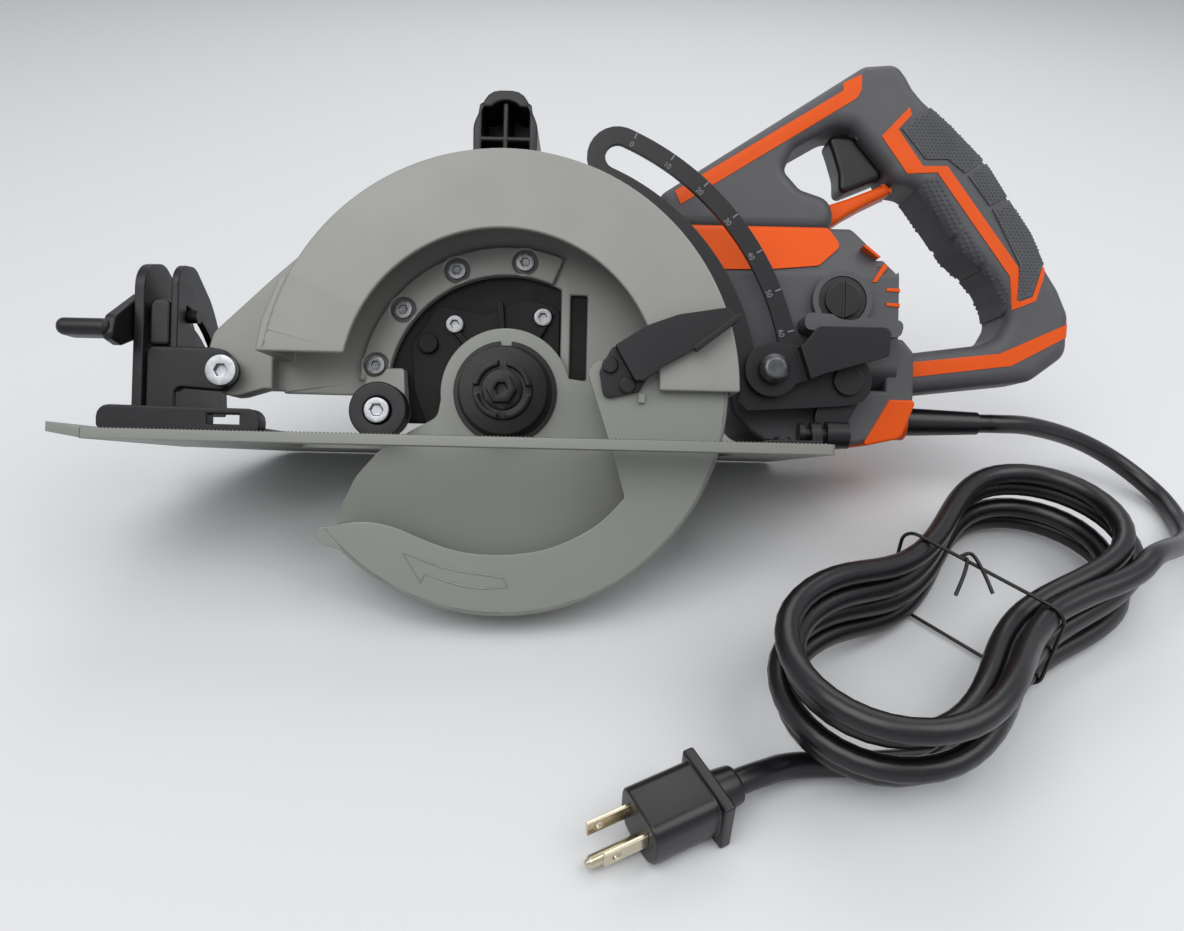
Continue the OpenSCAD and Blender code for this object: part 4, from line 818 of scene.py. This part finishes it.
# Lower guard: rolled rim, a near sheet with a swept edge, a far sheet with the hub, and two small tabs
guardSpec = {
    "radius": 97.5, "sheet": 1.8, "near": -16.5, "far": 7, "from": -140, "to": 8, "bore": 21.1, "hub": 29.3,
    "section": [(95.7, 7), (97.1, 7), (97.5, 6.6), (97.5, -14.7), (97.1, -15.8), (96, -16.5), (95.7, -16.5)],
    "nearEdge": [(41, 13, 4), (36.8, 8, 4), (49, -28.5, 30), (53.9, -45.2, 2)],
    "sweep": [(53.4, -46.2), (46, -54.3), (37.5, -60.7), (25, -66.9), (13, -70), (0, -71.2), (-12, -70.6),
              (-22.5, -68.4), (-33, -64.7), (-43.3, -60.6), (-53.8, -58.4), (-64, -58.8), (-71, -60.6)],
    "lip": [(-76.4, -61, 2.5), (-78.6, -65, 3), (-74.6, -68.6, 3)],
    "farEdge": [(37, 5.9, 4)],
    "farSide": [(-30.4, -11.5, 6), (-43, -18.5, 20), (-56, -27, 20), (-66.5, -39, 20), (-72.6, -52, 12)],
    "tabs": [([(59, -5), (61.5, -5), (61.5, -1.2), (59, -1.2)], (-18.9, -16)),
             ([(-68.3, -59.4), (-73.2, -63.6), (-70.4, -66.8), (-65.6, -62.4)], (-15.5, 6))],
    "inset": 0.9, "nearFrom": -133, "nearShort": 0.6, "arcStep": 2.5, "hubArc": (14, 187), "hubStep": 5, "rimStep": 2,
    "nearRoll": 0.5, "farRoll": 0.4,
}
sheetRadius = guardSpec["radius"] - guardSpec["inset"]


def arcLine(radius, first, last, step):
    count = max(1, round(abs(last - first) / step))
    angles = [math.radians(first + (last - first) * i / count) for i in range(count + 1)]
    return [(radius * math.cos(a), radius * math.sin(a), 0) for a in angles]


sweepLine = throughPoints([Vector((x, z, 0)) for x, z in guardSpec["sweep"]], 4)
nearTo = guardSpec["to"] - guardSpec["nearShort"]
nearArc = arcLine(sheetRadius, guardSpec["nearFrom"], nearTo, guardSpec["arcStep"])
nearLine = smoothCorners(nearArc + guardSpec["nearEdge"] + [(p.x, p.y, 0) for p in sweepLine] + guardSpec["lip"], 6)
farArc = arcLine(sheetRadius, guardSpec["from"], guardSpec["to"], guardSpec["arcStep"])
hubArc = arcLine(guardSpec["hub"], *guardSpec["hubArc"], guardSpec["hubStep"])
farLine = smoothCorners(farArc + guardSpec["farEdge"] + hubArc + guardSpec["farSide"], 6)
boreStep = guardSpec["hubStep"]
bore = [Vector((x, -z)) for x, z, r in arcLine(guardSpec["bore"], 0, 360 - boreStep, boreStep)]
guardParts = [
    roundedSlab("nearSheet", nearLine, guardSpec["near"], guardSpec["near"] + guardSpec["sheet"], guardSpec["nearRoll"],
                2),
    roundedSlab("farSheet", farLine, guardSpec["far"] - guardSpec["sheet"], guardSpec["far"], guardSpec["farRoll"], 2,
                holes=[bore]),
]
guardParts += [roundedSlab("tab", [Vector(p) for p in line], *y, 0, 0) for line, y in guardSpec["tabs"]]
rim = bmesh.new()
rings = []
for x, z, r in arcLine(1, guardSpec["from"], guardSpec["to"], guardSpec["rimStep"]):
    rings.append([rim.verts.new(sawPoint(x * radius, y, z * radius)) for radius, y in guardSpec["section"]])
for one, two in zip(rings, rings[1:]):
    for k in range(len(one)):
        rim.faces.new((one[k - 1], one[k], two[k], two[k - 1]))
rim.faces.new(rings[0])
rim.faces.new(rings[-1][::-1])
bmesh.ops.recalc_face_normals(rim, faces=rim.faces)
rimMesh = bpy.data.meshes.new("guardRim")
rim.to_mesh(rimMesh)
rim.free()
addPiece("lowerGuard", joinMeshes("lowerGuard", guardParts + [rimMesh]), "lower_guard_set", "powderCoatSage",
         ["lower_guard"])

# On it a raised arrow that shows which way the blade turns
arrowSpec = {"line": [(-39.9, -71.3), (-32.1, -83.7), (-30.3, -79.8), (-21.1, -83), (-14, -84.7), (-5.6, -85.7),
                      (5.1, -84.9), (2.9, -80.8), (-3.4, -80), (-14, -78.7), (-24.6, -76.6)], "wide": 0.4}
arrowLine = [sawPoint(x, guardSpec["near"], z) for x, z in arrowSpec["line"]]
addPiece("turnArrow", tubeMesh("turnArrow", arrowLine, arrowSpec["wide"], True), "lower_guard_set", "powderCoatSage")

# Depth arm: printed marks and figures along the slot
scaleSpec = {"radius": 131.5, "angles": [14, 22.5, 31, 39.5, 48, 56.5, 65],
             "figures": ["60", "50", "40", "30", "20", "10", "0"], "faceY": 15, "size": 3.6, "figureIn": 2,
             "markFrom": 1.2, "markTo": 4, "markHalf": 0.3, "proud": 0.12, "sunk": 0.2}
marks = []
for angle, figure in zip(scaleSpec["angles"], scaleSpec["figures"]):
    a = math.radians(angle)
    out = Vector((math.cos(a), math.sin(a)))
    along = Vector((-out.y, out.x)) * scaleSpec["markHalf"]
    s, e = out * (scaleSpec["radius"] + scaleSpec["markFrom"]), out * (scaleSpec["radius"] + scaleSpec["markTo"])
    marks.append(roundedSlab("mark", [s - along, e - along, e + along, s + along],
                             scaleSpec["faceY"] - scaleSpec["proud"], scaleSpec["faceY"] + scaleSpec["sunk"], 0, 0))
    text = bpy.data.curves.new("figure", "FONT")
    text.body = figure
    text.size = scaleSpec["size"] * mm
    text.extrude = scaleSpec["proud"] * mm
    text.align_x = "CENTER"
    text.align_y = "CENTER"
    holder = addObject("figure", text)
    at = out * (scaleSpec["radius"] - scaleSpec["figureIn"])
    turn = (Matrix.Translation(sawPoint(at.x, scaleSpec["faceY"], at.y)) @ sawTurn
            @ Matrix.Rotation(a - math.pi / 2, 4, "Z"))
    marks.append(bakeMesh(holder, turn))
addPiece("depthScale", joinMeshes("depthScale", marks), "depth_arm", "padPrint")
print("marks")
